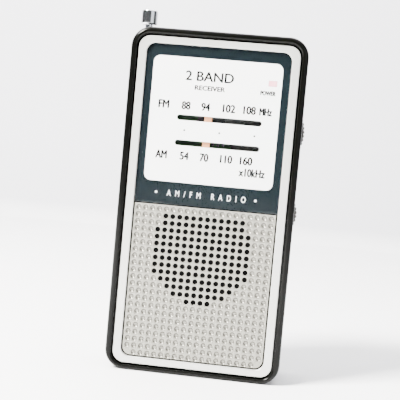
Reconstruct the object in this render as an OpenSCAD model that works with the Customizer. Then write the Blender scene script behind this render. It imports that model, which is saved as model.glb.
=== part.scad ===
// Transistor pocket radio with two wave bands, a slide-rule dial, a side
// thumbwheel for tuning, one for volume, and a telescopic antenna.
// The front faces -Y, +Z is up, and the case stands centred on the origin.

/* [Case] */
// Width of the case
case_w = 63; // [60:0.5:72]
// Height of the case
case_h = 123; // [118:0.5:140]
// Depth of the case, front to back
case_d = 25; // [24.6:0.2:32]
// Corner radius of the case outline
case_r = 7; // [6.6:0.1:9]
// Wall thickness of both shells
wall = 1.7; // [1.4:0.1:2]
// Radius of the round bead that frames the front
front_bead = 1.5; // [1:0.1:1.8]
// Radius of the rounded rear edge
rear_round = 3; // [2:0.1:3.2]

/* [Front] */
// Width of the case rim beside the bezel, gap included
rim_w = 2.8; // [2.4:0.1:3.4]
// Gap between the case rim and the bezel
bezel_gap = 0.6; // [0.3:0.1:0.9]
// Width of the bezel's bars
bezel_bar = 2.9; // [2.4:0.1:3.6]
// Depth of the seat that the bezel drops into
seat_depth = 2; // [1.6:0.1:2.4]
// Height of the grille part of the front, from the bezel's lower bar
grille_h = 55.6; // [52:0.2:60]
// Thickness of the clear lens
lens_t = 1.1; // [0.8:0.1:1.4]
// Thickness of the printed dial sheet
sheet_t = 0.3; // [0.2:0.05:0.4]
// Thickness of the grille plate
grille_t = 0.5; // [0.4:0.05:0.7]

/* [Grille] */
// Pitch of the punched holes, both ways
hole_pitch = 2.5; // [2.4:0.05:2.6]
// Diameter of a punched hole
hole_d = 1.35; // [1:0.05:1.6]
// Radius of the round field of punched holes
hole_field_r = 18.6; // [15:0.1:20]
// Rows of holes above the middle of the field, where it is cut flat
rows_above = 5; // [3:1:6]

/* [Dial] */
// Length of a dial slot
slot_l = 30.2; // [26:0.2:32]
// Height of a dial slot
slot_h = 1.9; // [1.4:0.1:2.4]
// Distance of the slots' middle to the right of the centre line
slot_x = 2.1; // [0:0.1:3]
// Height of the upper slot above the floor
fm_z = 92; // [90:0.5:94]
// Height of the lower slot above the floor
am_z = 83; // [81:0.5:85]
// Width of the tuning pointer
pointer_w = 2.7; // [1.5:0.1:3]
// Place of the pointer at rest, from the centre line
pointer_x = -1.9; // [-4:0.1:4]

/* [Tuning drive] */
// Module of the gears and the rack
gear_m = 0.6; // [0.5:0.05:0.65]
// Radius of the tuning thumbwheel
tune_r = 14; // [13:0.1:15]
// Height of the tuning thumbwheel's axis
tune_z = 90; // [88:0.5:92]
// How far both thumbwheels stand out of the case's side
wheel_proud = 1.1; // [0.6:0.1:1.5]
// Thickness of both thumbwheels
wheel_t = 2.4; // [1.8:0.1:2.8]
// Radius of the volume thumbwheel
vol_r = 9; // [8:0.1:9.5]
// Height of the volume thumbwheel's axis
vol_z = 61; // [59:0.5:63]

/* [Speaker] */
// Outer diameter of the speaker
speaker_d = 36; // [34:0.5:38]
// Depth of the speaker
speaker_h = 7.6; // [7:0.1:8]
// Height of the speaker's middle
speaker_z = 44; // [42:0.5:46]

/* [Battery] */
// Diameter of a cell
cell_d = 10.5; // [10:0.1:10.6]
// Length of a cell with its cap
cell_l = 44.5; // [42:0.1:45]

/* [Antenna] */
// Outer radius of the fixed base tube
ant_r = 2.2; // [2.1:0.1:2.25]
// Step in radius from one section to the next
ant_step = 0.3; // [0.25:0.01:0.31]
// Running clearance in radius between sections
ant_clear = 0.05; // [0.03:0.01:0.08]
// Length of the base tube
ant_l = 74; // [60:1:76]
// Diameter of the tip knob
knob_d = 6; // [5:0.1:6.4]
// Height of the tip knob
knob_h = 5.2; // [4:0.1:6]

/* [Fits] */
// Clearance of a moving piece beside a fixed one
gap = 0.3; // [0.2:0.05:0.4]
// Running clearance in radius of a hub on its shaft
run = 0.05; // [0.03:0.01:0.08]
// Clearance of the battery door in its grooves
door_gap = 0.2; // [0.15:0.05:0.3]

/* [Hidden] */
$fn = 48;

// Planes through the depth, from the front face to the rear face
front_y = -case_d / 2;
rear_y = case_d / 2;
panel_t = 1.6;
seat_y = front_y + seat_depth;
panel_y = seat_y + panel_t;
split_y = front_y + 12;
door_y = rear_y - wall;
lens_y = seat_y - sheet_t - lens_t;
bezel_y = front_y + 0.8;
grille_y = front_y + 1.3;
board_t = 1.3;
board_y = panel_y + 8;
board_back = board_y + board_t;

// Heights and half widths of what lies behind the front
inner_x = case_w / 2 - wall;
bezel_x = case_w / 2 - rim_w;
bezel_z0 = 2.4;
bezel_z1 = case_h - 3;
bezel_end = 2.5;
open_x = bezel_x - bezel_bar;
open_z0 = bezel_z0 + bezel_end;
open_z1 = bezel_z1 - bezel_end;
open_r = 3.2;
grille_gap = 0.4;
lens_gap = 0.2;
grille_z1 = open_z0 + grille_h;
lens_z0 = grille_z1 + 0.3;

// Dial window in the front panel, just larger than the slots
window_margin = 1.5;
window_z0 = am_z - slot_h / 2 - window_margin;
window_z1 = fm_z + slot_h / 2 + window_margin;
window_x0 = slot_x - slot_l / 2 - 0.6;
window_x1 = slot_x + slot_l / 2 + 0.6;
lamp_x = 19.8;
lamp_z = 106.4;
lamp_w = 3;
lamp_h = 2;

// Tuning drive: thumbwheel gear, idler, and the rack above the idler
idler_pin_r = 1.5;
idler_foot_r = idler_pin_r + 0.9;
// Teeth of the tuning gear and the idler: even, and enough that the idler's foot clears the thumbwheel
gear_n = 2 * ceil((tune_r + idler_foot_r + gap) / (2 * gear_m));
gear_r = gear_m * gear_n / 2;
tooth_pitch = PI * gear_m;
tune_x = case_w / 2 + wheel_proud - tune_r;
// The idler sits a little above the tuning gear, so that the rack clears that gear
idler_rise = 1.6;
idler_lean = asin(idler_rise / (2 * gear_r));
idler_x = tune_x - 2 * gear_r * cos(idler_lean);
idler_z = tune_z + idler_rise;
rack_z = idler_z + gear_r;
// The rack's teeth enter the idler's gap that lies nearest its top
tooth_angle = 360 / gear_n;
top_gap = round((90 + idler_lean) / tooth_angle) * tooth_angle - idler_lean;
rack_x = idler_x + gear_r * (90 - top_gap) * PI / 180;
gear_y = panel_y + 2.2;
gear_t = 2;
wheel_y = panel_y + 4.6;
shaft_r = 2.5;
vol_x = case_w / 2 + wheel_proud - vol_r;
vol_shaft_r = 2;
wheel_slot_y = wheel_y - gap;
wheel_slot_t = wheel_t + 2 * gap;
carriage_left = 14.2;
carriage_right = 13.8;
carriage_top = rack_z + 5.1;
rod_r = 0.6;
rod_y = panel_y + 2.6;
rod_zs = [rack_z + 1.8, rack_z + 3.9];
rod_end = inner_x + 0.6;

// Screw places as [x, z]
case_screw_at = [
    [-case_w / 2 + 5.5, 6], [case_w / 2 - 5.5, 6],
    [-case_w / 2 + 11, case_h - 8], [case_w / 2 - 5.5, case_h - 8]
];
board_screw_at = [[-20, 90], [-20, 62], [5, 67.5]];
post_r = 2;
screw_r = 0.7;
boss_r = 2.6;
boss_pilot_r = 0.8;
head_r = 2;
head_y = rear_y - 2.2;

// Speaker: flange on a gasket, held by three clips
gasket_t = 0.5;
speaker_y = panel_y + gasket_t;
speaker_r = speaker_d / 2;
cone_r = speaker_r - 2.8;
magnet_r = 9;
clip_ring_r = speaker_r + 3;
clip_angles = [90, 205, 335];
flange_t = 0.6;

// Battery bay
bay_y = split_y - 0.5;
cell_r = cell_d / 2;
cell_x = cell_r + 0.2;
tray_t = 0.8;
cell_y = bay_y + tray_t + 0.15 + cell_r;
bay_x = 2 * cell_r + 0.7;
bay_wall = 1;
bay_z0 = wall + 0.2;
spring_l = 3.4;
plate_t = 0.4;
bay_z1 = bay_z0 + spring_l + cell_l + plate_t + 0.3;
door_x = 14;
door_z1 = bay_z1 + 2.6;
tongue = 1.2;

// Antenna, at the upper left
ant_x = -case_w / 2 + 4;
ant_y = -1;
ant_top = case_h - 6;
ant_bottom = ant_top - ant_l;
ant_hole_r = ant_r - 0.15;
knob_z = case_h + 2.2;
recess_r = knob_d / 2 + 0.4;
function section_r(n) = ant_r - n * (ant_step + ant_clear);

// ---- Shapes used by several pieces

module rounded(w, h, r) {
    square([w, h - 2 * r], center = true);
    square([w - 2 * r, h], center = true);
    for (x = [-1, 1], z = [-1, 1]) translate([x * (w / 2 - r), z * (h / 2 - r)]) circle(r);
}

// A flat outline drawn in X and Z, given depth from y0 to y1
module deep(y0, y1) {
    translate([0, y1, 0]) rotate([90, 0, 0]) linear_extrude(y1 - y0) children();
}

module slab(w, z0, z1, r, y0, y1) {
    deep(y0, y1) translate([0, (z0 + z1) / 2]) rounded(w, z1 - z0, r);
}

module pin_y(x, z, r, y0, y1) {
    translate([x, y1, z]) rotate([90, 0, 0]) cylinder(r = r, h = y1 - y0);
}

module pin_x(x0, x1, y, z, r) {
    translate([x0, y, z]) rotate([0, 90, 0]) cylinder(r = r, h = x1 - x0);
}

module block(x0, x1, y0, y1, z0, z1) {
    translate([x0, y0, z0]) cube([x1 - x0, y1 - y0, z1 - z0]);
}

// A turned shape about an axis along Y: points are [radius, depth]
module turned(x, y, z, points) {
    translate([x, y, z]) rotate([-90, 0, 0]) rotate_extrude() polygon(points);
}

// A section through the depth: its length runs along local Y
module depth_profile(length) {
    translate([front_y, -length / 2 + front_bead]) square([front_bead, length - 2 * front_bead]);
    translate([front_y + front_bead, -length / 2]) square([case_d - front_bead - rear_round, length]);
    translate([rear_y - rear_round, -length / 2 + rear_round]) square([rear_round, length - 2 * rear_round]);
    for (s = [-1, 1]) {
        translate([front_y + front_bead, s * (length / 2 - front_bead)]) circle(front_bead);
        translate([rear_y - rear_round, s * (length / 2 - rear_round)]) circle(rear_round);
    }
}

// The case's outer form between two depths, with its front and rear edges rounded
module case_form(y0, y1) {
    intersection() {
        slab(case_w, 0, case_h, case_r, y0, y1);
        translate([-case_w, 0, case_h / 2]) rotate([90, 0, 90]) linear_extrude(2 * case_w) depth_profile(case_h);
        translate([0, 0, -1]) rotate([0, 0, 90]) linear_extrude(case_h + 2) depth_profile(case_w);
    }
}

module antenna_way() {
    translate([ant_x, ant_y, ant_top - 2]) cylinder(r = ant_hole_r, h = 12);
    translate([ant_x, ant_y, case_h - 1.1]) cylinder(r = recess_r, h = 4);
}

// Spur gear outline with straight-sided teeth and room for backlash
module gear_outline(turn) {
    tip = gear_r + 0.85 * gear_m;
    root = gear_r - 1.1 * gear_m;
    circle(root);
    for (k = [0 : gear_n - 1])
        rotate(turn + k * 360 / gear_n)
            polygon([
                [root - 0.3, -0.9 * gear_m], [gear_r, -0.6 * gear_m], [tip, -0.28 * gear_m],
                [tip, 0.28 * gear_m], [gear_r, 0.6 * gear_m], [root - 0.3, 0.9 * gear_m]
            ]);
}

// Thumbwheel outline with a knurled rim
module knurled(r, notches) {
    difference() {
        circle(r, $fn = 96);
        for (k = [0 : notches - 1]) rotate(k * 360 / notches) translate([r + 0.1, 0]) circle(0.42);
    }
}

module screw(x, z, head, shank, y_head, length) {
    pin_y(x, z, head, y_head, y_head + 0.5 * head);
    pin_y(x, z, shank, y_head - length, y_head + 0.1);
}

// ---- Case

module front_shell() color("#1e1d18") {
    difference() {
        union() {
            difference() {
                case_form(front_y, split_y);
                slab(case_w - 2 * wall, wall, case_h - wall, case_r - wall, panel_y, split_y + 1);
                slab(2 * (bezel_x + bezel_gap), bezel_z0 - bezel_gap, bezel_z1 + bezel_gap,
                     case_r - rim_w + bezel_gap, front_y - 1, seat_y);
                block(window_x0, window_x1, seat_y - 1, panel_y + 1, window_z0, window_z1);
                pin_y(0, speaker_z, speaker_r - 1.2, seat_y - 1, panel_y + 1);
                block(lamp_x - lamp_w / 2, lamp_x + lamp_w / 2, seat_y - 1, panel_y + 1,
                      lamp_z - lamp_h / 2, lamp_z + lamp_h / 2);
            }
            for (p = case_screw_at) pin_y(p[0], p[1], boss_r, panel_y - 0.5, split_y);
            for (p = board_screw_at) pin_y(p[0], p[1], post_r, panel_y - 0.5, board_y);
            for (a = clip_angles)
                pin_y(clip_ring_r * cos(a), speaker_z + clip_ring_r * sin(a), post_r,
                      panel_y - 0.5, speaker_y + flange_t);
        }
        for (p = case_screw_at) pin_y(p[0], p[1], boss_pilot_r, split_y - 6.5, split_y + 1);
        for (p = board_screw_at) pin_y(p[0], p[1], screw_r, board_y - 4, board_y + 1);
        for (a = clip_angles)
            pin_y(clip_ring_r * cos(a), speaker_z + clip_ring_r * sin(a), screw_r,
                  panel_y - 0.4, speaker_y + 1);
        for (w = [[tune_z, tune_r, tune_x], [vol_z, vol_r, vol_x]]) {
            half = sqrt(pow(w[1], 2) - pow(inner_x - w[2], 2)) + 1;
            block(inner_x - 1, case_w / 2 + 1, wheel_slot_y, wheel_slot_y + wheel_slot_t,
                  w[0] - half, w[0] + half);
        }
        for (z = rod_zs) pin_x(-rod_end, rod_end, rod_y, z, rod_r);
        antenna_way();
    }
}

module rear_shell() color("#1e1d18") {
    difference() {
        union() {
            difference() {
                case_form(split_y, rear_y);
                slab(case_w - 2 * wall, wall, case_h - wall, case_r - wall, split_y - 1, door_y);
            }
            for (p = case_screw_at) pin_y(p[0], p[1], boss_r, split_y, door_y + 0.5);
            // Battery bay: a tray open to the rear
            block(-bay_x - bay_wall, bay_x + bay_wall, bay_y, bay_y + tray_t, wall, bay_z1 + bay_wall);
            for (s = [-1, 1])
                translate([s * (bay_x + bay_wall / 2) - bay_wall / 2, bay_y, wall])
                    cube([bay_wall, door_y - bay_y - 0.1, bay_z1 + bay_wall - wall]);
            block(-bay_x - bay_wall, bay_x + bay_wall, bay_y, door_y - 0.1, bay_z1, bay_z1 + bay_wall);
        }
        for (p = case_screw_at) {
            pin_y(p[0], p[1], boss_pilot_r + 0.3, split_y - 1, rear_y);
            pin_y(p[0], p[1], head_r + 0.3, head_y, rear_y + 1);
        }
        block(-door_x - door_gap, door_x + door_gap, door_y - 0.2, rear_y + 1, -1, door_z1 + door_gap);
        block(-door_x - tongue - door_gap, door_x + tongue + door_gap, door_y - 0.2, door_y + 0.85,
              -1, door_z1 + door_gap);
        block(band_x0 - gap, band_x0 + band_l + band_travel + gap, door_y - 1, rear_y + 1,
              band_z - band_h / 2 - gap, band_z + band_h / 2 + gap);
        pin_x(-case_w / 2 - 1, -inner_x + 1, jack_y, jack_z, jack_collar_r);
        antenna_way();
    }
}

module battery_door() color("#1e1d18") {
    difference() {
        intersection() {
            case_form(split_y, rear_y);
            block(-door_x, door_x, door_y, rear_y + 1, -1, door_z1);
        }
        for (k = [0 : 4]) block(-5, 5, rear_y - 0.35, rear_y + 1, door_z1 - 6 - 1.6 * k, door_z1 - 5.2 - 1.6 * k);
    }
    for (s = [-1, 1])
        translate([s * (door_x + tongue / 2 - 0.25) - tongue / 2 - 0.25, door_y + 0.05, rear_round])
            cube([tongue + 0.5, 0.6, door_z1 - rear_round]);
}

module case_screws() color("silver")
    for (p = case_screw_at) screw(p[0], p[1], head_r, boss_pilot_r, head_y, head_y - split_y + 6);

// ---- Front dress

module bezel() color("#d5d4cf")
    difference() {
        slab(2 * bezel_x, bezel_z0, bezel_z1, case_r - rim_w, bezel_y, seat_y);
        slab(2 * open_x, open_z0, open_z1, open_r, bezel_y - 1, seat_y + 1);
    }

// Outline of the upper panel: round at the top, square where it meets the grille
module dial_outline(inset) {
    r = open_r - inset;
    z1 = open_z1 - inset;
    x1 = open_x - inset;
    translate([-x1, lens_z0]) square([2 * x1, z1 - lens_z0 - r]);
    translate([-x1 + r, lens_z0]) square([2 * (x1 - r), z1 - lens_z0]);
    for (s = [-1, 1]) translate([s * (x1 - r), z1 - r]) circle(r);
}

module slot_outline(z) {
    translate([slot_x, z]) square([slot_l - slot_h, slot_h], center = true);
    for (s = [-1, 1]) translate([slot_x + s * (slot_l - slot_h) / 2, z]) circle(slot_h / 2);
}

module dial_lens() color("#a8c4c8", 0.4) deep(lens_y, lens_y + lens_t) dial_outline(lens_gap);

module dial_sheet() color("#38505a")
    deep(seat_y - sheet_t, seat_y) difference() {
        dial_outline(lens_gap);
        slot_outline(fm_z);
        slot_outline(am_z);
        translate([lamp_x, lamp_z]) square([lamp_w, lamp_h], center = true);
    }

module power_lamp() color("#f2c9c9")
    block(lamp_x - lamp_w / 2, lamp_x + lamp_w / 2, seat_y - sheet_t, panel_y + 0.1,
          lamp_z - lamp_h / 2, lamp_z + lamp_h / 2);

// Grille outline: square at the top, round below
module grille_outline(inset) {
    r = open_r - inset;
    x1 = open_x - inset;
    z0 = open_z0 + inset;
    z1 = grille_z1 - max(0, inset - grille_gap);
    translate([-x1, z0 + r]) square([2 * x1, z1 - z0 - r]);
    translate([-x1 + r, z0]) square([2 * (x1 - r), z1 - z0]);
    for (s = [-1, 1]) translate([s * (x1 - r), z0 + r]) circle(r);
}

// Punched holes lie in a round field that is cut flat above its middle
field_up = 0.6;
holes_half = ceil(hole_field_r / hole_pitch);

module punched_holes() {
    for (row = [-holes_half : rows_above], col = [-holes_half : holes_half - 1]) {
        x = (col + 0.5) * hole_pitch;
        z = row * hole_pitch;
        if (norm([x, z - field_up]) < hole_field_r) translate([x, speaker_z + z]) circle(hole_d / 2, $fn = 24);
    }
}

module grille_plate() color("#b4b3a8") {
    deep(grille_y, grille_y + grille_t) difference() {
        grille_outline(grille_gap);
        punched_holes();
    }
    // Folded rim that stands on the seat
    deep(grille_y + grille_t - 0.1, seat_y) difference() {
        grille_outline(grille_gap);
        grille_outline(grille_gap + grille_t);
    }
}

// ---- Speaker

module speaker_gasket() color("#2a2a2a")
    difference() {
        pin_y(0, speaker_z, speaker_r, panel_y, speaker_y);
        pin_y(0, speaker_z, speaker_r - 1.2, panel_y - 1, speaker_y + 1);
    }

module speaker_basket() color("#8f9296")
    turned(0, speaker_y, speaker_z, [
        [speaker_r - 2.2, 0], [speaker_r, 0], [speaker_r, flange_t], [speaker_r - 1.7, flange_t],
        [magnet_r + 0.4, speaker_h - 2.4], [4.7, speaker_h - 2.4], [4.7, speaker_h - 2.9],
        [magnet_r + 0.2, speaker_h - 2.9], [speaker_r - 2.2, 0.3]
    ]);

module speaker_magnet() color("#4a4a4a")
    turned(0, speaker_y, speaker_z, [
        [0, speaker_h - 3], [3.3, speaker_h - 3], [3.3, speaker_h - 0.8], [4.5, speaker_h - 0.8],
        [4.5, speaker_h - 2.4], [magnet_r, speaker_h - 2.4], [magnet_r, speaker_h - 0.5], [0, speaker_h - 0.5]
    ]);

module speaker_cone() color("#3a3732")
    turned(0, speaker_y, speaker_z, [
        [0, 1.4], [2.2, 1.8], [4, 2.8], [cone_r, -0.25], [cone_r, 0.05], [3.9, 3.2],
        [3.9, speaker_h - 1.6], [3.6, speaker_h - 1.6], [3.6, 2.9], [2.1, 2.1], [0, 1.7]
    ]);

module speaker_clips() color("silver")
    for (a = clip_angles) translate([0, speaker_y + flange_t, speaker_z]) rotate([0, -a, 0])
        translate([speaker_r - 1.3, 0, -post_r]) difference() {
            cube([clip_ring_r - speaker_r + 1.3 + post_r, 0.8, 2 * post_r]);
            translate([clip_ring_r - speaker_r + 1.3, -1, post_r]) rotate([-90, 0, 0]) cylinder(r = screw_r, h = 3);
        }

module speaker_screws() color("silver")
    for (a = clip_angles)
        screw(clip_ring_r * cos(a), speaker_z + clip_ring_r * sin(a), 1.5, screw_r,
              speaker_y + flange_t + 0.8, 2.2);

// ---- Circuit board and what it carries

board_x0 = ant_x + ant_r + 1.7;
board_x1 = inner_x - 1.2;
board_z0 = bay_z1 + bay_wall + 1.2;
board_z1 = lamp_z + 3.1;

module circuit_board() color("#2f5d3a")
    difference() {
        block(board_x0, board_x1, board_y, board_back, board_z0, board_z1);
        for (p = board_screw_at) pin_y(p[0], p[1], screw_r, board_y - 1, board_back + 1);
        pin_y(tune_x, tune_z, shaft_r + 0.6, board_y - 1, board_back + 1);
        pin_y(vol_x, vol_z, vol_shaft_r + 0.6, board_y - 1, board_back + 1);
        pin_y(idler_x, idler_z, idler_pin_r, board_y - 1, board_back + 1);
    }

module board_screws() color("silver")
    for (p = board_screw_at) screw(p[0], p[1], 1.5, screw_r, board_back, board_t + 3.5);

module audio_chip() color("#1c1c1e") {
    block(-18, -4, board_back + 0.4, board_back + 2.6, 66, 71.5);
    for (k = [0 : 8], s = [0, 1])
        block(-17.4 + 1.5 * k, -16.9 + 1.5 * k, board_back, board_back + 1.4, 65.2 + 6 * s, 66.3 + 6 * s);
}

module if_cans() color("#c9cacc")
    for (k = [0 : 2]) difference() {
        block(-20.5 + 9 * k, -13.5 + 9 * k, board_back, board_back + 7, 75, 82);
        pin_y(-17 + 9 * k, 78.5, 1.6, board_back + 6, board_back + 8);
    }

module capacitors() color("#27364a")
    for (p = [[-20, 57.2, 1.9], [-0.5, 62.5, 2.5], [8, 73.5, 3], [8.5, 63, 2.2], [14.5, 75, 1.9]])
        pin_y(p[0], p[1], p[2], board_back, board_back + 6);

module resistors() color("#c8a878")
    for (k = [0 : 5]) {
        z = 56.5 + 1.9 * (k % 3);
        x = k < 3 ? -16 : -9;
        pin_x(x, x + 4, board_back + 0.8, z, 0.8);
        pin_x(x - 0.8, x + 4.8, board_back + 0.8, z, 0.25);
        for (e = [x - 0.6, x + 4.6]) pin_y(e, z, 0.25, board_back, board_back + 0.9);
    }

ferrite_y = board_back + 4.9;
ferrite_z = board_z1 - 5;
ferrite_r = 3.5;
ferrite_x0 = -17;
ferrite_x1 = 25;

module ferrite_rod() color("#3b3a3c") pin_x(ferrite_x0, ferrite_x1, ferrite_y, ferrite_z, ferrite_r);

module ferrite_coil() color("#b5652f")
    difference() {
        pin_x(-10, 4, ferrite_y, ferrite_z, ferrite_r + 0.7);
        pin_x(-11, 5, ferrite_y, ferrite_z, ferrite_r);
    }

module ferrite_holders() color("#e6e2d6")
    for (x = [ferrite_x0 + 1.5, ferrite_x1 - 4]) difference() {
        block(x, x + 2.5, board_back, ferrite_y + 2, ferrite_z - 4.2, ferrite_z + 4.2);
        pin_x(x - 1, x + 4, ferrite_y, ferrite_z, ferrite_r);
    }

band_z = 88;
band_h = 2.4;
band_l = 3;
band_x0 = -9;
band_travel = 3;
band_channel_y = board_back + 3.4;

module band_switch() color("#c9cacc")
    difference() {
        block(band_x0 - 3.4, band_x0 + band_l + band_travel + 3.4, board_back, board_back + 6.4, band_z - 3.2, band_z + 3.2);
        block(band_x0 - gap, band_x0 + band_l + band_travel + gap, band_channel_y, board_back + 7,
              band_z - band_h / 2 - gap, band_z + band_h / 2 + gap);
    }

module band_slider() color("#1e1d18") {
    block(band_x0, band_x0 + band_l, band_channel_y + gap, rear_y - 0.7, band_z - band_h / 2, band_z + band_h / 2);
    for (k = [0 : 1]) block(band_x0 + 0.4 + 1.4 * k, band_x0 + 1.2 + 1.4 * k, rear_y - 0.8, rear_y - 0.3,
                            band_z - band_h / 2, band_z + band_h / 2);
}

jack_y = 5.5;
jack_z = 97;
jack_bore_r = 1.8;
plug_l = 14;
jack_x1 = -case_w / 2 + plug_l + 1.2;
jack_collar_r = 2.9;

module earphone_jack() color("#26262a")
    difference() {
        union() {
            pin_x(-case_w / 2, -inner_x + 0.4, jack_y, jack_z, jack_collar_r);
            block(-inner_x + 0.1, board_x0 - 0.8, jack_y - 3.3, jack_y + 3.3, jack_z - 3.3, jack_z + 3.3);
            block(board_x0 - 0.9, jack_x1, board_back, jack_y + 3.3, jack_z - 3.3, jack_z + 3.3);
        }
        pin_x(-case_w / 2 - 1, -case_w / 2 + plug_l, jack_y, jack_z, jack_bore_r);
    }

// ---- Tuning drive

module tuning_capacitor() color("#d9d6cc")
    difference() {
        block(tune_x - 10, tune_x + 10, board_back, board_back + 8, tune_z - 10, tune_z + 10);
        pin_y(tune_x, tune_z, shaft_r + run, board_back - 1, board_back + 5);
    }

module tuning_shaft() color("#b9a46a") pin_y(tune_x, tune_z, shaft_r, gear_y - 0.2, board_back + 4.6);

module tuning_wheel() color("#24231f")
    difference() {
        union() {
            deep(gear_y, gear_y + gear_t) translate([tune_x, tune_z]) gear_outline(180 - idler_lean);
            pin_y(tune_x, tune_z, gear_r - 1.4, gear_y + 1, wheel_y + 1);
            deep(wheel_y, wheel_y + wheel_t) translate([tune_x, tune_z]) knurled(tune_r, 60);
        }
        pin_y(tune_x, tune_z, shaft_r, gear_y - 1, board_y);
    }

module tuning_screw() color("silver") pin_y(tune_x, tune_z, 1.6, gear_y - 1, gear_y - 0.2);

module idler_gear() color("#e8e4d8")
    difference() {
        deep(gear_y, gear_y + gear_t) translate([idler_x, idler_z]) gear_outline(tooth_angle / 2 - idler_lean);
        pin_y(idler_x, idler_z, idler_pin_r + run, gear_y - 1, board_y);
    }

module idler_pin() color("silver") {
    pin_y(idler_x, idler_z, idler_pin_r, gear_y - 0.2, board_back);
    pin_y(idler_x, idler_z, idler_pin_r + 0.7, gear_y - 0.7, gear_y - 0.2);
    pin_y(idler_x, idler_z, idler_foot_r, gear_y + gear_t + 0.2, board_y);
}

// Rack teeth, which mesh with the top of the idler
module rack_teeth() {
    x0 = pointer_x - carriage_left;
    x1 = pointer_x + carriage_right;
    first = ceil((x0 + gear_m - rack_x) / tooth_pitch);
    last = floor((x1 - gear_m - rack_x) / tooth_pitch);
    for (k = [first : last]) translate([rack_x + k * tooth_pitch, rack_z])
        polygon([
            [-0.9 * gear_m, 1.5 * gear_m], [-0.6 * gear_m, 0], [-0.28 * gear_m, -0.85 * gear_m],
            [0.28 * gear_m, -0.85 * gear_m], [0.6 * gear_m, 0], [0.9 * gear_m, 1.5 * gear_m]
        ]);
}

module pointer_carriage() color("#e8e4d8")
    difference() {
        union() {
            deep(gear_y, gear_y + gear_t) rack_teeth();
            block(pointer_x - carriage_left, pointer_x + carriage_right, panel_y + gap + 0.9,
                  gear_y + gear_t, rack_z + 1.1 * gear_m, carriage_top);
        }
        for (z = rod_zs) pin_x(-case_w, case_w, rod_y, z, rod_r + run);
    }

module dial_pointer() color("#e8b9a4") {
    block(pointer_x - pointer_w / 2, pointer_x + pointer_w / 2, panel_y + gap, panel_y + gap + 0.9,
          window_z0 + 0.5, carriage_top - 0.4);
    block(pointer_x - pointer_w / 2, pointer_x + pointer_w / 2, seat_y + 0.35, panel_y + gap + 0.1,
          window_z0 + 0.5, window_z1 - 0.5);
}

module guide_rods() color("silver")
    for (z = rod_zs) pin_x(-rod_end, rod_end, rod_y, z, rod_r);

// ---- Volume

module volume_control() color("#8a6f4a")
    difference() {
        pin_y(vol_x, vol_z, 5.9, board_back, board_back + 4);
        pin_y(vol_x, vol_z, vol_shaft_r + run, board_back - 1, board_back + 3);
    }

module volume_shaft() color("#b9a46a") pin_y(vol_x, vol_z, vol_shaft_r, wheel_y - 0.2, board_back + 2.6);

module volume_wheel() color("#24231f")
    difference() {
        deep(wheel_y, wheel_y + wheel_t) translate([vol_x, vol_z]) knurled(vol_r, 38);
        pin_y(vol_x, vol_z, vol_shaft_r, wheel_y - 1, board_y);
    }

module volume_screw() color("silver") pin_y(vol_x, vol_z, 1.6, wheel_y - 1, wheel_y - 0.2);

// ---- Battery

module cell(x, z0, up) {
    cap = 1;
    z1 = up ? z0 : z0 + cap;
    translate([x, cell_y, z1]) cylinder(r = cell_r, h = cell_l - cap);
    translate([x, cell_y, up ? z1 + cell_l - cap : z0]) cylinder(r = 1.9, h = cap);
}

module cell_left() color("#9a8a3a") cell(-cell_x, bay_z0 + spring_l, true);

module cell_right() color("#9a8a3a") cell(cell_x, bay_z0 + plate_t, false);

module contact_plates() color("silver") {
    block(-cell_x - 4, -cell_x + 4, cell_y - 3, cell_y + 3, bay_z0 + spring_l + cell_l, bay_z1);
    block(cell_x - 4, cell_x + 4, cell_y - 3, cell_y + 3, wall, bay_z0 + plate_t);
    // The link between the two cells' springs and caps lies on the bay's floor
    block(-cell_x - 4, cell_x - 4, cell_y - 2, cell_y + 2, wall, bay_z0);
}

// A conical coil as a swept wire
module coil(r0, r1, h, turns, wire) {
    n = turns * 16;
    m = 6;
    rings = [for (i = [0 : n], k = [0 : m - 1]) let(t = i / n, a = 360 * turns * t, r = r0 + (r1 - r0) * t,
             b = 360 * k / m) [(r + wire * cos(b)) * cos(a), (r + wire * cos(b)) * sin(a), h * t + wire * sin(b)]];
    sides = [for (i = [0 : n - 1], k = [0 : m - 1])
        [i * m + k, (i + 1) * m + k, (i + 1) * m + (k + 1) % m, i * m + (k + 1) % m]];
    ends = [[for (k = [0 : m - 1]) k], [for (k = [m - 1 : -1 : 0]) n * m + k]];
    polyhedron(rings, concat(sides, ends), convexity = 8);
}

module contact_springs() color("silver") {
    wire = 0.3;
    free = spring_l - 2 * wire;
    translate([-cell_x, cell_y, bay_z0 + wire]) coil(3.4, 2, free, 3, wire);
    translate([cell_x, cell_y, bay_z1 - wire]) mirror([0, 0, 1]) coil(3.4, 2, free, 3, wire);
}

// ---- Antenna

module ant_tube(n, z0, z1) {
    translate([ant_x, ant_y, 0]) difference() {
        translate([0, 0, z0]) cylinder(r = section_r(n), h = z1 - z0);
        translate([0, 0, z0 - 1]) cylinder(r = section_r(n + 1) + ant_clear, h = z1 - z0 + 2);
    }
}

module antenna_base() color("#cfd1d4") ant_tube(0, ant_bottom, ant_top);
module antenna_section_1() color("#d6d8da") ant_tube(1, ant_bottom + 1, ant_top + 1.4);
module antenna_section_2() color("#dcdee0") ant_tube(2, ant_bottom + 2, ant_top + 2.2);
module antenna_section_3() color("#e2e4e6") ant_tube(3, ant_bottom + 3, ant_top + 3);

module antenna_tip() color("#e2e4e6")
    translate([ant_x, ant_y, ant_bottom + 4]) cylinder(r = section_r(4), h = knob_z - ant_bottom - 4);

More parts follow.
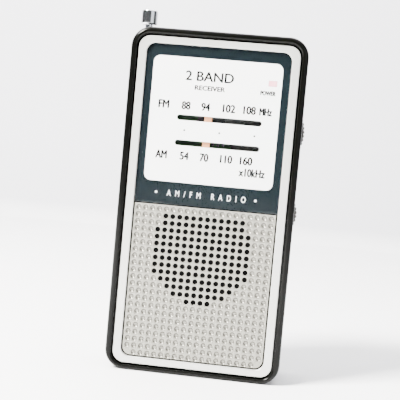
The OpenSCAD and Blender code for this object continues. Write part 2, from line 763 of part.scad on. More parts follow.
module antenna_knob() color("#c8cacc") translate([ant_x, ant_y, 0]) {
    difference() {
        translate([0, 0, ant_top + 4]) cylinder(r = 1.4, h = knob_z - ant_top - 4);
        translate([0, 0, ant_top + 3]) cylinder(r = section_r(4), h = knob_z - ant_top - 3);
    }
    translate([0, 0, knob_z]) cylinder(r1 = knob_d / 2 - 0.5, r2 = knob_d / 2, h = 0.5);
    translate([0, 0, knob_z + 0.5]) cylinder(r = knob_d / 2, h = knob_h - 1);
    translate([0, 0, knob_z + knob_h - 0.5]) cylinder(r1 = knob_d / 2, r2 = knob_d / 2 - 0.5, h = 0.5);
}

module antenna_clip() color("#8f9296") {
    z = board_z1 - 3.2;
    difference() {
        block(-inner_x + 0.05, ant_x + ant_r + 0.7, ant_y - ant_r - 0.8, ant_y + ant_r + 0.8, z - 1.5, z + 1.5);
        translate([ant_x, ant_y, z - 2]) cylinder(r = ant_r, h = 4);
    }
    block(ant_x + ant_r + 0.6, board_x0 + 2, board_back, board_back + 0.6, z - 1.5, z + 1.5);
}

front_shell();
rear_shell();
battery_door();
case_screws();
bezel();
dial_lens();
dial_sheet();
grille_plate();
power_lamp();
speaker_gasket();
speaker_basket();
speaker_magnet();
speaker_cone();
speaker_clips();
speaker_screws();
circuit_board();
board_screws();
audio_chip();
if_cans();
capacitors();
resistors();
ferrite_rod();
ferrite_coil();
ferrite_holders();
tuning_capacitor();
tuning_shaft();
tuning_wheel();
tuning_screw();
idler_gear();
idler_pin();
pointer_carriage();
dial_pointer();
guide_rods();
volume_control();
volume_shaft();
volume_wheel();
volume_screw();
band_switch();
band_slider();
earphone_jack();
cell_left();
cell_right();
contact_plates();
contact_springs();
antenna_base();
antenna_clip();
antenna_section_1();
antenna_section_2();
antenna_section_3();
antenna_tip();
antenna_knob();
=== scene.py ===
"""Looks for the transistor pocket radio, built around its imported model."""
import math

import bmesh
import bpy
from bpy.props import FloatProperty, FloatVectorProperty, IntProperty, PointerProperty
from mathutils import Matrix, Vector


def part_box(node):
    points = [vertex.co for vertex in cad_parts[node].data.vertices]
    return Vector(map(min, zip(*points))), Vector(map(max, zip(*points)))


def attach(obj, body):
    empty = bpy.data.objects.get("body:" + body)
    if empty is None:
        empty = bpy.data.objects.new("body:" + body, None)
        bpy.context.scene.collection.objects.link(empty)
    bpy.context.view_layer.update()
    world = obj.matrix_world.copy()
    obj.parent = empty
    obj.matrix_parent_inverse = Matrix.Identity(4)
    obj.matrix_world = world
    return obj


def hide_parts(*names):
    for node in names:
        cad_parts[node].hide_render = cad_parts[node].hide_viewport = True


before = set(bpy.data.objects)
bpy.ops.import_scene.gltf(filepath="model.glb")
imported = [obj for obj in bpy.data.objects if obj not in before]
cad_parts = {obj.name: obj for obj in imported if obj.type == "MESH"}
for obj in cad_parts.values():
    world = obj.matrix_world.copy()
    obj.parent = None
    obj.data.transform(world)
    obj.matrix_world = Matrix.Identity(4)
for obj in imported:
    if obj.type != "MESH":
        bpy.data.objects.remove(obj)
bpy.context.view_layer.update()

bl_info = {
    "name": "Pocket Radio",
    "version": (1, 0, 0),
    "blender": (4, 5, 0),
    "location": "3D View > Sidebar > Radio",
    "description": "Builds the visible pieces of a transistor pocket radio",
    "category": "Object",
}

MM = 0.001
FILM = 0.02 * MM  # thickness of a printed film
DOOR_TONGUE = 1.2 * MM  # width of the tongue along each side of the battery door


# ---- Colours and nodes

def srgb(hex_text, alpha=1.0):
    """An sRGB hex colour as linear red, green, blue and alpha."""
    values = [int(hex_text[i:i + 2], 16) / 255 for i in (1, 3, 5)]
    linear = [v / 12.92 if v <= 0.04045 else ((v + 0.055) / 1.055) ** 2.4 for v in values]
    return (*linear, alpha)


def add(tree, kind, settings=None, **inputs):
    """Adds a node. Settings are its own fields; inputs are values or links.

    An input's name has _ for a space, or is i and its number, such as i0.
    """
    node = tree.nodes.new(kind)
    for field, value in (settings or {}).items():
        setattr(node, field, value)
    for key, value in inputs.items():
        socket = node.inputs[int(key[1:]) if key[1:].isdigit() else key.replace("_", " ")]
        if isinstance(value, bpy.types.NodeSocket):
            tree.links.new(value, socket)
        else:
            socket.default_value = value
    return node


def material(name, **inputs):
    """A plain node material with its shader's named inputs set; returns it, its tree and the shader."""
    mat = bpy.data.materials.new(name)
    mat.use_nodes = True
    tree = mat.node_tree
    shader = tree.nodes["Principled BSDF"]
    for key, value in inputs.items():
        shader.inputs[key.replace("_", " ")].default_value = value
    return mat, tree, shader


def ramp(tree, factor, stops, blend="LINEAR"):
    """A colour ramp over a factor; stops are (place, linear colour)."""
    node = add(tree, "ShaderNodeValToRGB", i0=factor)
    node.color_ramp.interpolation = blend
    elements = node.color_ramp.elements
    elements[0].position, elements[0].color = stops[0]
    elements[1].position, elements[1].color = stops[-1]
    for place, colour in stops[1:-1]:
        element = elements.new(place)
        element.color = colour
    return node.outputs["Color"]


def tones(base, down, up):
    """A colour darkened by one factor and lightened by another."""
    return tuple(down * v for v in base), tuple(min(1.0, up * v) for v in base)


def two_tone(tree, factor, dark, light, low=0.3, high=0.7):
    """A colour ramp from dark at low to light at high."""
    return ramp(tree, factor, ((low, (*dark[:3], 1)), (high, (*light[:3], 1))))


def paint(tree, shader, factor, dark, light, low=0.3, high=0.7):
    """Gives the shader a base colour that runs from dark to light."""
    tree.links.new(two_tone(tree, factor, dark, light, low, high), shader.inputs["Base Color"])


def roughen(tree, shader, factor, low, high):
    """Gives the shader a roughness that runs from low to high."""
    tree.links.new(scaled(tree, factor, low, high), shader.inputs["Roughness"])


def object_coords(tree, scale=(1, 1, 1), location=(0, 0, 0)):
    """Object coordinates, in metres from the origin, moved and scaled."""
    coords = add(tree, "ShaderNodeTexCoord")
    mapping = add(tree, "ShaderNodeMapping", Vector=coords.outputs["Object"], Scale=scale, Location=location)
    return mapping.outputs["Vector"]


def noise(tree, size_mm, detail=3.0, stretch=(1, 1, 1), rough=0.5):
    """Noise whose features are about size_mm across."""
    per_metre = 1000 / size_mm
    vector = object_coords(tree, tuple(per_metre * s for s in stretch))
    node = add(tree, "ShaderNodeTexNoise", Vector=vector, Scale=1.0, Detail=detail, Roughness=rough)
    return node.outputs["Fac"]


def waves(tree, per_metre, direction="X", scale=1.0, distortion=1.5):
    """Straight wave bands, per_metre apart, for weaves and windings."""
    vector = object_coords(tree, (per_metre,) * 3)
    node = add(tree, "ShaderNodeTexWave", {"bands_direction": direction}, Vector=vector, Scale=scale,
               Distortion=distortion, Detail=2.0)
    return node.outputs["Fac"]


def bump(tree, shader, height, strength, distance_mm):
    """Bumps the shader's normal by a height."""
    node = add(tree, "ShaderNodeBump", Strength=strength, Distance=distance_mm * MM, Height=height)
    tree.links.new(node.outputs["Normal"], shader.inputs["Normal"])


def front_only(tree, value=1.0):
    """A value on the front of each face, and 0 on its back."""
    back = add(tree, "ShaderNodeNewGeometry").outputs["Backfacing"]
    front = add(tree, "ShaderNodeMath", {"operation": "SUBTRACT"}, i0=1.0, i1=back).outputs["Value"]
    return add(tree, "ShaderNodeMath", {"operation": "MULTIPLY"}, i0=front, i1=value).outputs["Value"]


def scaled(tree, value, low, high):
    """Maps a 0 to 1 value to the range low to high."""
    node = add(tree, "ShaderNodeMapRange", Value=value, To_Min=low, To_Max=high)
    return node.outputs["Result"]


# ---- Mesh helpers

def mesh_from(name, bm):
    """A mesh with the shape of a bmesh, which is freed."""
    mesh = bpy.data.meshes.new(name)
    bm.to_mesh(mesh)
    bm.free()
    return mesh


def bmesh_from(curve):
    """A bmesh with the shape of a filled curve."""
    holder = bpy.data.objects.new("outline", curve)
    mesh = bpy.data.meshes.new_from_object(holder)
    bm = bmesh.new()
    bm.from_mesh(mesh)
    bpy.data.objects.remove(holder)
    bpy.data.meshes.remove(mesh)
    return bm


def new_object(name, data):
    """An object, linked to the scene."""
    item = bpy.data.objects.new(name, data)
    bpy.context.scene.collection.objects.link(item)
    return item


def mesh_piece(name, bm, body, node, mat, smooth=40):
    """Makes an object from a bmesh in place, shades it, and ties it to its CAD body and node.

    Node is None for a piece that stands for no CAD node; smooth is 0 for flat shading.
    """
    piece = new_object(name, mesh_from(name, bm))
    piece.data.materials.append(mat)
    if smooth:
        piece.data.shade_smooth()
        piece.data.set_sharp_from_angle(angle=math.radians(smooth))
        piece.modifiers.new("flat_faces", "WEIGHTED_NORMAL").keep_sharp = True
    if node:
        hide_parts(node)
    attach(piece, body)


def rounded_outline(x0, x1, z0, z1, r_low, r_high=None, steps=12):
    """Points of a rectangle with round corners, counter-clockwise from the lower right."""
    r_high = r_low if r_high is None else r_high
    corners = ((x1, z0, r_low, -90, -1, 1), (x1, z1, r_high, 0, -1, -1),
               (x0, z1, r_high, 90, 1, -1), (x0, z0, r_low, 180, 1, 1))
    points = []
    for x, z, r, start, sx, sz in corners:
        if r <= 0:
            points.append((x, z))
            continue
        for k in range(steps + 1):
            a = math.radians(start + 90 * k / steps)
            points.append((x + sx * r + r * math.cos(a), z + sz * r + r * math.sin(a)))
    return points


def slot_outline(x, z, width, height):
    """Points of a slot with round ends."""
    r = height / 2
    return rounded_outline(x - width / 2, x + width / 2, z - r, z + r, r)


def circle_outline(x, z, r, steps=32):
    """Points round a circle."""
    angles = [2 * math.pi * k / steps for k in range(steps)]
    return [(x + r * math.cos(a), z + r * math.sin(a)) for a in angles]


def plate(outlines, y0, y1, edge=0.0):
    """A bmesh plate between two depths: the first outline is its edge and the others are holes.

    The outlines are filled as a flat curve, and edge rounds the rims of both faces.
    """
    curve = bpy.data.curves.new("plate", "CURVE")
    curve.dimensions = "2D"
    curve.fill_mode = "BOTH"
    curve.extrude = (y1 - y0) / 2 - edge
    curve.bevel_depth = edge
    curve.bevel_resolution = 3
    curve.offset = -edge
    for outline in outlines:
        spline = curve.splines.new("POLY")
        spline.points.add(len(outline) - 1)
        for point, (x, z) in zip(spline.points, outline):
            point.co = (x, z, 0, 1)
        spline.use_cyclic_u = True
    bm = bmesh_from(curve)
    bmesh.ops.remove_doubles(bm, verts=bm.verts, dist=1e-7)
    turn = Matrix.Rotation(math.radians(90), 4, "X")
    bmesh.ops.transform(bm, verts=bm.verts, matrix=Matrix.Translation((0, (y0 + y1) / 2, 0)) @ turn)
    bmesh.ops.recalc_face_normals(bm, faces=bm.faces)
    return bm


def box_bm(x0, x1, y0, y1, z0, z1, edge=0.0):
    """A bmesh box, with its edges rounded where edge is given."""
    bm = bmesh.new()
    bmesh.ops.create_cube(bm, size=1)
    bmesh.ops.scale(bm, verts=bm.verts, vec=(x1 - x0, y1 - y0, z1 - z0))
    bmesh.ops.translate(bm, verts=bm.verts, vec=((x0 + x1) / 2, (y0 + y1) / 2, (z0 + z1) / 2))
    if edge:
        bmesh.ops.bevel(bm, geom=bm.edges[:], offset=edge, affect="EDGES", segments=3, profile=0.5,
                        material=-1)
    return bm


def lathe(profile, centre, axis="Z", steps=48):
    """A bmesh turned from [radius, height] points about an axis through centre."""
    bm = bmesh.new()
    verts = [bm.verts.new((r, 0, h)) for r, h in profile]
    edges = [bm.edges.new(pair) for pair in zip(verts, verts[1:])]
    bmesh.ops.spin(bm, geom=verts + edges, cent=(0, 0, 0), axis=(0, 0, 1), angle=2 * math.pi,
                   steps=steps, use_merge=True, use_duplicate=False)
    bmesh.ops.remove_doubles(bm, verts=bm.verts, dist=1e-7)
    bmesh.ops.recalc_face_normals(bm, faces=bm.faces)
    turn = {"Z": Matrix.Identity(4), "Y": Matrix.Rotation(math.radians(-90), 4, "X"),
            "X": Matrix.Rotation(math.radians(90), 4, "Y")}[axis]
    bmesh.ops.transform(bm, verts=bm.verts, matrix=Matrix.Translation(centre) @ turn)
    return bm


def join(*parts):
    """One bmesh out of several."""
    whole = parts[0]
    for part in parts[1:]:
        mesh = mesh_from("part", part)
        whole.from_mesh(mesh)
        bpy.data.meshes.remove(mesh)
    return whole


def cut(bm, cutters, keep="DIFFERENCE"):
    """Cuts a closed bmesh with closed cutters, one exact boolean for each."""
    work = new_object("cut", mesh_from("cut", bm))
    tools = [new_object("tool", mesh_from("tool", cutter)) for cutter in cutters]
    for tool in tools:
        modifier = work.modifiers.new("cut", "BOOLEAN")
        modifier.operation, modifier.object, modifier.solver = keep, tool, "EXACT"
    result = work.evaluated_get(bpy.context.evaluated_depsgraph_get()).to_mesh()
    out = bmesh.new()
    out.from_mesh(result)
    for leftover in (work, *tools):
        data = leftover.data
        bpy.data.objects.remove(leftover)
        bpy.data.meshes.remove(data)
    return out


# ---- Sizes that a user would change

def length(name, description, millimetres):
    """A length property, given in millimetres and kept in metres."""
    return FloatProperty(name=name, description=description, default=millimetres * MM, min=0.0,
                         unit="LENGTH", precision=5)


def colour(name, description, hex_text):
    """A colour property, given as sRGB hex and kept linear."""
    return FloatVectorProperty(name=name, description=description, default=srgb(hex_text)[:3],
                               subtype="COLOR", size=3, min=0.0, max=1.0)


class CaseSettings(bpy.types.PropertyGroup):
    """Sizes and colour of the black case."""
    corner: length("Corner", "Radius of the case outline's corners", 7.0)
    bead: length("Bead", "Radius of the front rim's outer edge", 1.5)
    inner_bead: length("Inner bead", "Radius of the front rim's inner edge", 0.65)
    rear_round: length("Rear edge", "Radius of the rear edge", 3.0)
    wall: length("Wall", "Wall thickness", 1.7)
    colour: colour("Case", "Moulded case plastic", "#050504")


class FrontSettings(bpy.types.PropertyGroup):
    """Sizes and colours of the front."""
    bezel_edge: length("Bezel edge", "Rounding of the bezel's rims", 0.35)
    lens_edge: length("Lens edge", "Bevel round the lens", 0.25)
    field_corner: length("Field corner", "Radius of the white field's corners", 2.4)
    bezel_colour: colour("Bezel", "Silver paint", "#cfcfcb")
    teal: colour("Dial border", "Printed border of the dial", "#060f13")
    field: colour("Dial field", "Printed field of the dial", "#f8f8f8")
    ink: colour("Scale ink", "Printed numbers", "#0b0b0b")
    pointer: colour("Pointer", "Tuning pointer", "#d9976c")


class GrilleSettings(bpy.types.PropertyGroup):
    """Sizes and colour of the punched grille."""
    pitch: length("Pitch", "Distance between punch marks", 2.5)
    dimple: length("Dimple", "Diameter of a punch mark", 1.9)
    depth: length("Depth", "Depth of a punch mark", 0.42)
    hole: length("Hole", "Diameter of a hole", 1.85)
    columns: IntProperty(name="Columns", description="Punch marks across", default=20, min=2, max=40)
    rows: IntProperty(name="Rows", description="Punch marks down", default=22, min=2, max=40)
    field_radius: length("Field radius", "Radius of the field of holes", 18.6)
    colour: colour("Grille", "Pressed aluminium", "#8f8d84")


class RadioSettings(bpy.types.PropertyGroup):
    """All settings of the radio."""
    case: PointerProperty(type=CaseSettings, name="Case", description="The black case")
    front: PointerProperty(type=FrontSettings, name="Front", description="The front's dress")
    grille: PointerProperty(type=GrilleSettings, name="Grille", description="The punched grille")


def settings():
    """The scene's radio settings."""
    return bpy.context.scene.radio


# ---- Materials

def moulded_black(name, base, rough=0.17, grain_mm=0.35, grain=0.03, gloss=0.1):
    """Moulded ABS, polished tool: a deep black with a broad soft gloss and a very slight ripple."""
    mat, tree, shader = material(name, Specular_IOR_Level=gloss)
    paint(tree, shader, noise(tree, 9.0, detail=4), *tones(base, 0.8, 1.25))
    smear = noise(tree, 14.0, detail=5, stretch=(1, 1, 0.4))
    roughen(tree, shader, smear, rough - 0.05, rough + 0.08)
    bump(tree, shader, noise(tree, grain_mm, detail=2), grain, 0.05)
    return mat


def textured_black(name, base):
    """Moulded ABS, spark-eroded tool: the same black with a fine texture and hardly any gloss."""
    return moulded_black(name, base, rough=0.38, grain_mm=0.5, grain=0.25, gloss=0.08)


def painted_silver(name, base):
    """Silver paint on moulded ABS: fine metal flake under a satin lacquer."""
    mat, tree, shader = material(name, Metallic=0.55)
    flake = noise(tree, 0.12, detail=1)
    paint(tree, shader, flake, *tones(base, 0.9, 1.06), 0.35, 0.65)
    roughen(tree, shader, noise(tree, 6.0, detail=4), 0.32, 0.42)
    bump(tree, shader, flake, 0.05, 0.02)
    return mat


def pressed_aluminium(name, base, face, depth):
    """Pressed sheet aluminium: warm satin metal, rolled grain, and painted shade that darkens the walls of
    the punch marks.
    """
    mat, tree, shader = material(name, Metallic=0.5)
    y = add(tree, "ShaderNodeSeparateXYZ", Vector=object_coords(tree)).outputs["Y"]
    down = add(tree, "ShaderNodeMapRange", Value=y, From_Min=face, From_Max=face + depth).outputs["Result"]
    # Painted shade: the colour darkens with depth into each punch mark, darkest on its walls, and comes back
    # near the sheet's own on its floor.
    unshaded, upper_wall_shade, lower_wall_shade, floor = (1, 1, 1), (0.3, 0.29, 0.28), (0.36, 0.35, 0.34), (0.95, 0.95, 0.95)
    dimple_shade = ramp(tree, down, [(place, (*tone, 1)) for place, tone in
                             ((0.02, unshaded), (0.2, upper_wall_shade), (0.7, lower_wall_shade), (1.0, floor))])
    grain = noise(tree, 0.25, detail=4, rough=0.7)
    sheet = two_tone(tree, grain, *tones(base, 0.78, 1.12))
    shaded_sheet = add(tree, "ShaderNodeVectorMath", {"operation": "MULTIPLY"}, i0=sheet, i1=dimple_shade)
    tree.links.new(shaded_sheet.outputs["Vector"], shader.inputs["Base Color"])
    roughen(tree, shader, noise(tree, 0.5, detail=3), 0.26, 0.36)
    bump(tree, shader, grain, 0.12, 0.03)
    return mat


def chromed_brass(name):
    """Chrome plate on drawn brass tube: a mirror with faint draw lines along the tube."""
    mat, tree, shader = material(name, Metallic=1.0)
    lines = noise(tree, 0.2, detail=2, stretch=(1, 1, 0.02))
    paint(tree, shader, lines, srgb("#c9cbcf"), srgb("#e6e7ea"))
    roughen(tree, shader, lines, 0.07, 0.16)
    return mat


def plated_steel(name, hex_text="#b4b6b9", rough=0.32):
    """Zinc-plated sheet steel: grey metal with cloudy plating."""
    mat, tree, shader = material(name, Metallic=0.95)
    cloud = noise(tree, 1.6, detail=5)
    paint(tree, shader, cloud, *tones(srgb(hex_text)[:3], 0.8, 1.0))
    roughen(tree, shader, cloud, rough - 0.07, rough + 0.1)
    return mat


def moulded_plain(name, hex_text, rough=0.45, spread=0.12):
    """Plain moulded plastic: an even colour, slightly clouded, with a fine tool texture."""
    mat, tree, shader = material(name)
    cloud = noise(tree, 3.0, detail=4)
    paint(tree, shader, cloud, *tones(srgb(hex_text)[:3], 1 - spread, 1 + spread))
    roughen(tree, shader, cloud, rough - 0.05, rough + 0.08)
    bump(tree, shader, noise(tree, 0.3, detail=2), 0.08, 0.03)
    return mat


def screen_print(name, base, rough=0.42, spread=0.03, size_mm=0.4):
    """Screen-printed ink: an even film with the faint mottling of the mesh it was pulled through."""
    mat, tree, shader = material(name, Specular_IOR_Level=0.1)
    mottle = noise(tree, size_mm, detail=2)
    paint(tree, shader, mottle, *tones(base, 1 - spread, 1 + spread))
    roughen(tree, shader, mottle, rough - 0.04, rough + 0.04)
    return mat


def clear_acrylic(name):
    """Cast acrylic sheet: clear, with a gloss that grows towards grazing view, and faint cleaning marks."""
    mat = bpy.data.materials.new(name)
    mat.use_nodes = True
    tree = mat.node_tree
    tree.nodes.clear()
    tint = two_tone(tree, noise(tree, 20.0, detail=2), srgb("#fdfefe"), srgb("#ffffff"))
    clear = add(tree, "ShaderNodeBsdfTransparent", Color=tint)
    marks = noise(tree, 12.0, detail=2, stretch=(1, 1, 0.5))
    gloss = add(tree, "ShaderNodeBsdfGlossy", Color=srgb("#ffffff"),
                Roughness=scaled(tree, marks, 0.06, 0.09))
    fresnel = add(tree, "ShaderNodeFresnel", IOR=1.28).outputs["Fac"]
    mix = add(tree, "ShaderNodeMixShader", i0=front_only(tree, fresnel), i1=clear.outputs["BSDF"],
              i2=gloss.outputs["BSDF"])
    add(tree, "ShaderNodeOutputMaterial", Surface=mix.outputs["Shader"])
    return mat


# ---- Case

def case_body(y_flat, y_round, edge):
    """A solid with the case outline, from y_flat to y_round, where its far edge is rounded."""
    s = settings().case
    lo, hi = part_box("front_shell")
    bm = bmesh.new()
    outline = rounded_outline(lo.x, hi.x, lo.z, hi.z, s.corner, steps=16)
    face = bm.faces.new([bm.verts.new((x, y_flat, z)) for x, z in outline])
    out = bmesh.ops.extrude_face_region(bm, geom=[face])
    moved = [g for g in out["geom"] if isinstance(g, bmesh.types.BMVert)]
    bmesh.ops.translate(bm, verts=moved, vec=(0, y_round - y_flat, 0))
    rim = [e for e in bm.edges if all(abs(v.co.y - y_round) < 1e-7 for v in e.verts)]
    bmesh.ops.bevel(bm, geom=rim, offset=edge, affect="EDGES", segments=8, profile=0.5, material=-1)
    bmesh.ops.recalc_face_normals(bm, faces=bm.faces)
    return bm


def cavity(node, start, end):
    """Cutter for the inside of one half of the case, one wall in from its outline."""
    s = settings().case
    lo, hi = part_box(node)
    return plate([rounded_outline(lo.x + s.wall, hi.x - s.wall, lo.z + s.wall, hi.z - s.wall,
                                  s.corner - s.wall)], start, end)


def bevelled_recess(x0, x1, z0, z1, corner, y_floor, y_face, flare):
    """A cutter for a recess whose mouth is rounded outwards by flare."""
    over = 1.0 * MM
    bm = bmesh.new()
    rings = []
    levels = [(y_floor, 0.0)]
    for k in range(7):
        a = math.radians(90 * k / 6)
        levels.append((y_face + flare - flare * math.sin(a), flare - flare * math.cos(a)))
    levels.append((y_face - over, flare))
    for y, grow in levels:
        outline = rounded_outline(x0 - grow, x1 + grow, z0 - grow, z1 + grow, corner + grow, steps=16)
        verts = [bm.verts.new((x, y, z)) for x, z in outline]
        rings.append([bm.edges.new((a, b)) for a, b in zip(verts, verts[1:] + verts[:1])])
    for a, b in zip(rings, rings[1:]):
        bmesh.ops.bridge_loops(bm, edges=a + b)
    bmesh.ops.holes_fill(bm, edges=bm.edges[:], sides=0)
    bmesh.ops.recalc_face_normals(bm, faces=bm.faces)
    return bm


def middle(node):
    """Middle of a CAD node's box."""
    lo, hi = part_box(node)
    return (lo + hi) / 2


def rod(centre, axis, radius, start, end, steps=32):
    """A closed round rod along an axis, between two heights from its centre."""
    return lathe([(0, start), (radius, start), (radius, end), (0, end)], centre, axis, steps)


def antenna_way():
    """Cutters for the antenna's hole and the shallow dish round it in the case's top."""
    lo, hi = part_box("antenna_base")
    centre = middle("antenna_base") * Vector((1, 1, 0))
    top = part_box("front_shell")[1].z
    above, grip = top + 4 * MM, 0.15 * MM
    hole = rod(centre, "Z", (hi.x - lo.x) / 2 - grip, top - 8 * MM, above)
    radius, deep, soft = 3.4 * MM, 1.1 * MM, 0.3 * MM
    dish = lathe([(0, top - deep), (radius - soft, top - deep), (radius, top - deep + soft), (radius, above),
                  (0, above)], centre, "Z")
    return [hole, dish]


def solid_centres(node):
    """Middle (x, z) of each separate solid in a CAD node, found by letting its mesh fall apart."""
    bm = bmesh.new()
    bm.from_mesh(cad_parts[node].data)
    bmesh.ops.remove_doubles(bm, verts=bm.verts, dist=1e-6)
    left = set(bm.verts)
    centres = []
    while left:
        group, edge = set(), [left.pop()]
        while edge:
            vert = edge.pop()
            group.add(vert)
            near = {e.other_vert(vert) for e in vert.link_edges} & left
            left -= near
            edge.extend(near)
        xs = [v.co.x for v in group]
        zs = [v.co.z for v in group]
        centres.append(((min(xs) + max(xs)) / 2, (min(zs) + max(zs)) / 2))
    bm.free()
    return sorted(centres)


def jack_hole():
    """Cutter for the earphone jack's hole in the case's side."""
    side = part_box("rear_shell")[0].x
    radius, depth = 2.95 * MM, 5.5 * MM
    return rod((side, depth, middle("earphone_jack").z), "X", radius, -MM, 3 * MM)


def battery_tray(inner):
    """Walls of the battery bay, as boxes: its floor, sides and upper end."""
    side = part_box("cell_right")[1].x + 0.5 * MM
    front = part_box("cell_left")[0].y - 0.15 * MM
    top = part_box("contact_plates")[1].z
    back, thick, bottom, floor = inner - 0.1 * MM, 0.95 * MM, 0.8 * MM, settings().case.wall
    tray = [box_bm(-side - thick, side + thick, front - bottom, front, floor, top + thick),
            box_bm(-side - thick, side + thick, front, back, top, top + thick)]
    tray += [box_bm(x, x + thick, front, back, floor, top) for x in (-side - thick, side)]
    return tray


def wheel_opening(wheel, side, wall):
    """Cutter for the slot in the case's side that a thumbwheel stands out of."""
    lo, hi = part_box(wheel)
    radius = (hi.z - lo.z) / 2
    reach = side - wall - (hi.x - radius)
    half = math.sqrt(radius ** 2 - reach ** 2) + MM
    z, thick, gap, edge = middle(wheel).z, 2.4 * MM, 0.3 * MM, 0.25 * MM
    return box_bm(side - wall - MM, side + MM, hi.y - thick - gap, hi.y + gap, z - half, z + half, edge)


class RADIO_OT_front_case(bpy.types.Operator):
    """Front half of the case, with its round rim and the seat for the bezel"""
    bl_idname = "radio.front_case"
    bl_label = "Front case"

    def execute(self, context):
        s = settings().case
        lo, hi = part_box("front_shell")
        bezel_lo, bezel_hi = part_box("bezel")
        gap, corner_step = 0.6 * MM, 2.2 * MM
        seat = bezel_hi.y
        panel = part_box("speaker_gasket")[0].y
        outer = case_body(hi.y, lo.y, s.bead)
        recess = bevelled_recess(bezel_lo.x - gap, bezel_hi.x + gap, bezel_lo.z - gap, bezel_hi.z + gap,
                                 s.corner - corner_step, seat, lo.y, s.inner_bead)
        inside = cavity("front_shell", panel, hi.y + MM)
        through = (seat - MM, panel + MM)
        left, right, low, tall = -13.6 * MM, 17.8 * MM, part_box("dial_pointer")[0].z - 0.5 * MM, 13.9 * MM
        window = box_bm(left, right, *through, low, low + tall)
        speaker_lo, speaker_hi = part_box("speaker_basket")
        radius = (speaker_hi.x - speaker_lo.x) / 2 - 1.2 * MM
        sound = rod((0, 0, middle("speaker_basket").z), "Y", radius, *through, 48)
        lamp_lo, lamp_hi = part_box("power_lamp")
        lamp = box_bm(lamp_lo.x, lamp_hi.x, *through, lamp_lo.z, lamp_hi.z)
        wheels = [wheel_opening(wheel, hi.x, s.wall) for wheel in ("tuning_wheel", "volume_wheel")]
        shell = cut(outer, [recess, inside, window, sound, lamp, *antenna_way(), *wheels])
        mesh_piece("front_case", shell, "case", "front_shell",
                   moulded_black("abs_polished_black", s.colour), smooth=35)
        return {"FINISHED"}


class RADIO_OT_rear_case(bpy.types.Operator):
    """Rear half of the case, with the battery bay and the holes in its back and side"""
    bl_idname = "radio.rear_case"
    bl_label = "Rear case"

    def execute(self, context):
        s = settings().case
        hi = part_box("rear_shell")[1]
        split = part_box("front_shell")[1].y
        inner = hi.y - s.wall
        outer = case_body(split, hi.y, s.rear_round)
        inside = cavity("rear_shell", split - MM, inner)
        door_lo, door_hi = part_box("battery_door")
        gap, tongue, groove_wide, past = 0.2 * MM, DOOR_TONGUE, 0.85 * MM, hi.y + MM
        opening = box_bm(door_lo.x + tongue - gap, door_hi.x - tongue + gap, inner - gap, past,
                         -MM, door_hi.z + gap)
        groove = box_bm(door_lo.x - gap, door_hi.x + gap, inner - gap, inner + groove_wide,
                        -MM, door_hi.z + gap)
        slide_lo, slide_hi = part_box("band_slider")
        play, travel = 0.3 * MM, 3.0 * MM
        slot = box_bm(slide_lo.x - play, slide_hi.x + travel + play, inner - MM, past,
                      slide_lo.z - play, slide_hi.z + play)
        slide = middle("band_slider")
        deep, small, large = 0.7 * MM, 4.4 * MM, 5.6 * MM
        finger = lathe([(0, -deep), (small, -deep), (large, MM), (0, MM)],
                       (slide.x + travel / 2, hi.y, slide.z), "Y")
        screws = solid_centres("case_screws")
        seat, bore, shaft, pillar = hi.y - 2.2 * MM, 2.3 * MM, 1.1 * MM, 2.6 * MM
        counterbores = [rod((x, 0, z), "Y", bore, seat, past) for x, z in screws]
        shell = cut(outer, [inside, opening, groove, slot, finger, jack_hole(), *antenna_way(),
                            *counterbores])
        profile = [(shaft, split), (pillar, split), (pillar, inner), (bore, inner), (bore, seat),
                   (shaft, seat), (shaft, split)]
        pillars = [lathe(profile, (x, 0, z), "Y", 32) for x, z in screws]
        mesh_piece("rear_case", join(shell, *pillars, *battery_tray(inner)), "case", "rear_shell",
                   textured_black("abs_textured_black", s.colour), smooth=35)
        return {"FINISHED"}


class RADIO_OT_battery_door(bpy.types.Operator):
    """Battery door, with its thumb ridges and a moulded arrow"""
    bl_idname = "radio.battery_door"
    bl_label = "Battery door"

    def execute(self, context):
        s = settings().case
        lo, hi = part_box("battery_door")
        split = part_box("front_shell")[1].y
        inner, past = hi.y - s.wall, hi.y + MM
        side = hi.x - DOOR_TONGUE
        door = cut(case_body(split, hi.y, s.rear_round),
                   [box_bm(-side, side, inner, past, -MM, hi.z)], keep="INTERSECT")
        half, deep, wide, first, pitch = 5 * MM, 0.35 * MM, 0.8 * MM, 6 * MM, 1.6 * MM
        ridges = [box_bm(-half, half, hi.y - deep, past, z, z + wide, 0.15 * MM)
                  for z in (hi.z - first - pitch * k for k in range(5))]
        tip, size = hi.z - 17.5 * MM, 2.4 * MM
        arrow = plate([[(-size, tip + size), (0, tip), (size, tip + size)]], hi.y - 0.25 * MM, past)
        door = cut(door, [*ridges, arrow])
        rail, thick, play, low = DOOR_TONGUE + 0.5 * MM, 0.6 * MM, 0.05 * MM, 3 * MM
        rails = [box_bm(x, x + rail, inner + play, inner + play + thick, low, hi.z, 0.1 * MM)
                 for x in (lo.x, hi.x - rail)]
        mesh_piece("battery_door_panel", join(door, *rails), "door", "battery_door",
                   textured_black("abs_textured_door", s.colour), smooth=35)
        return {"FINISHED"}


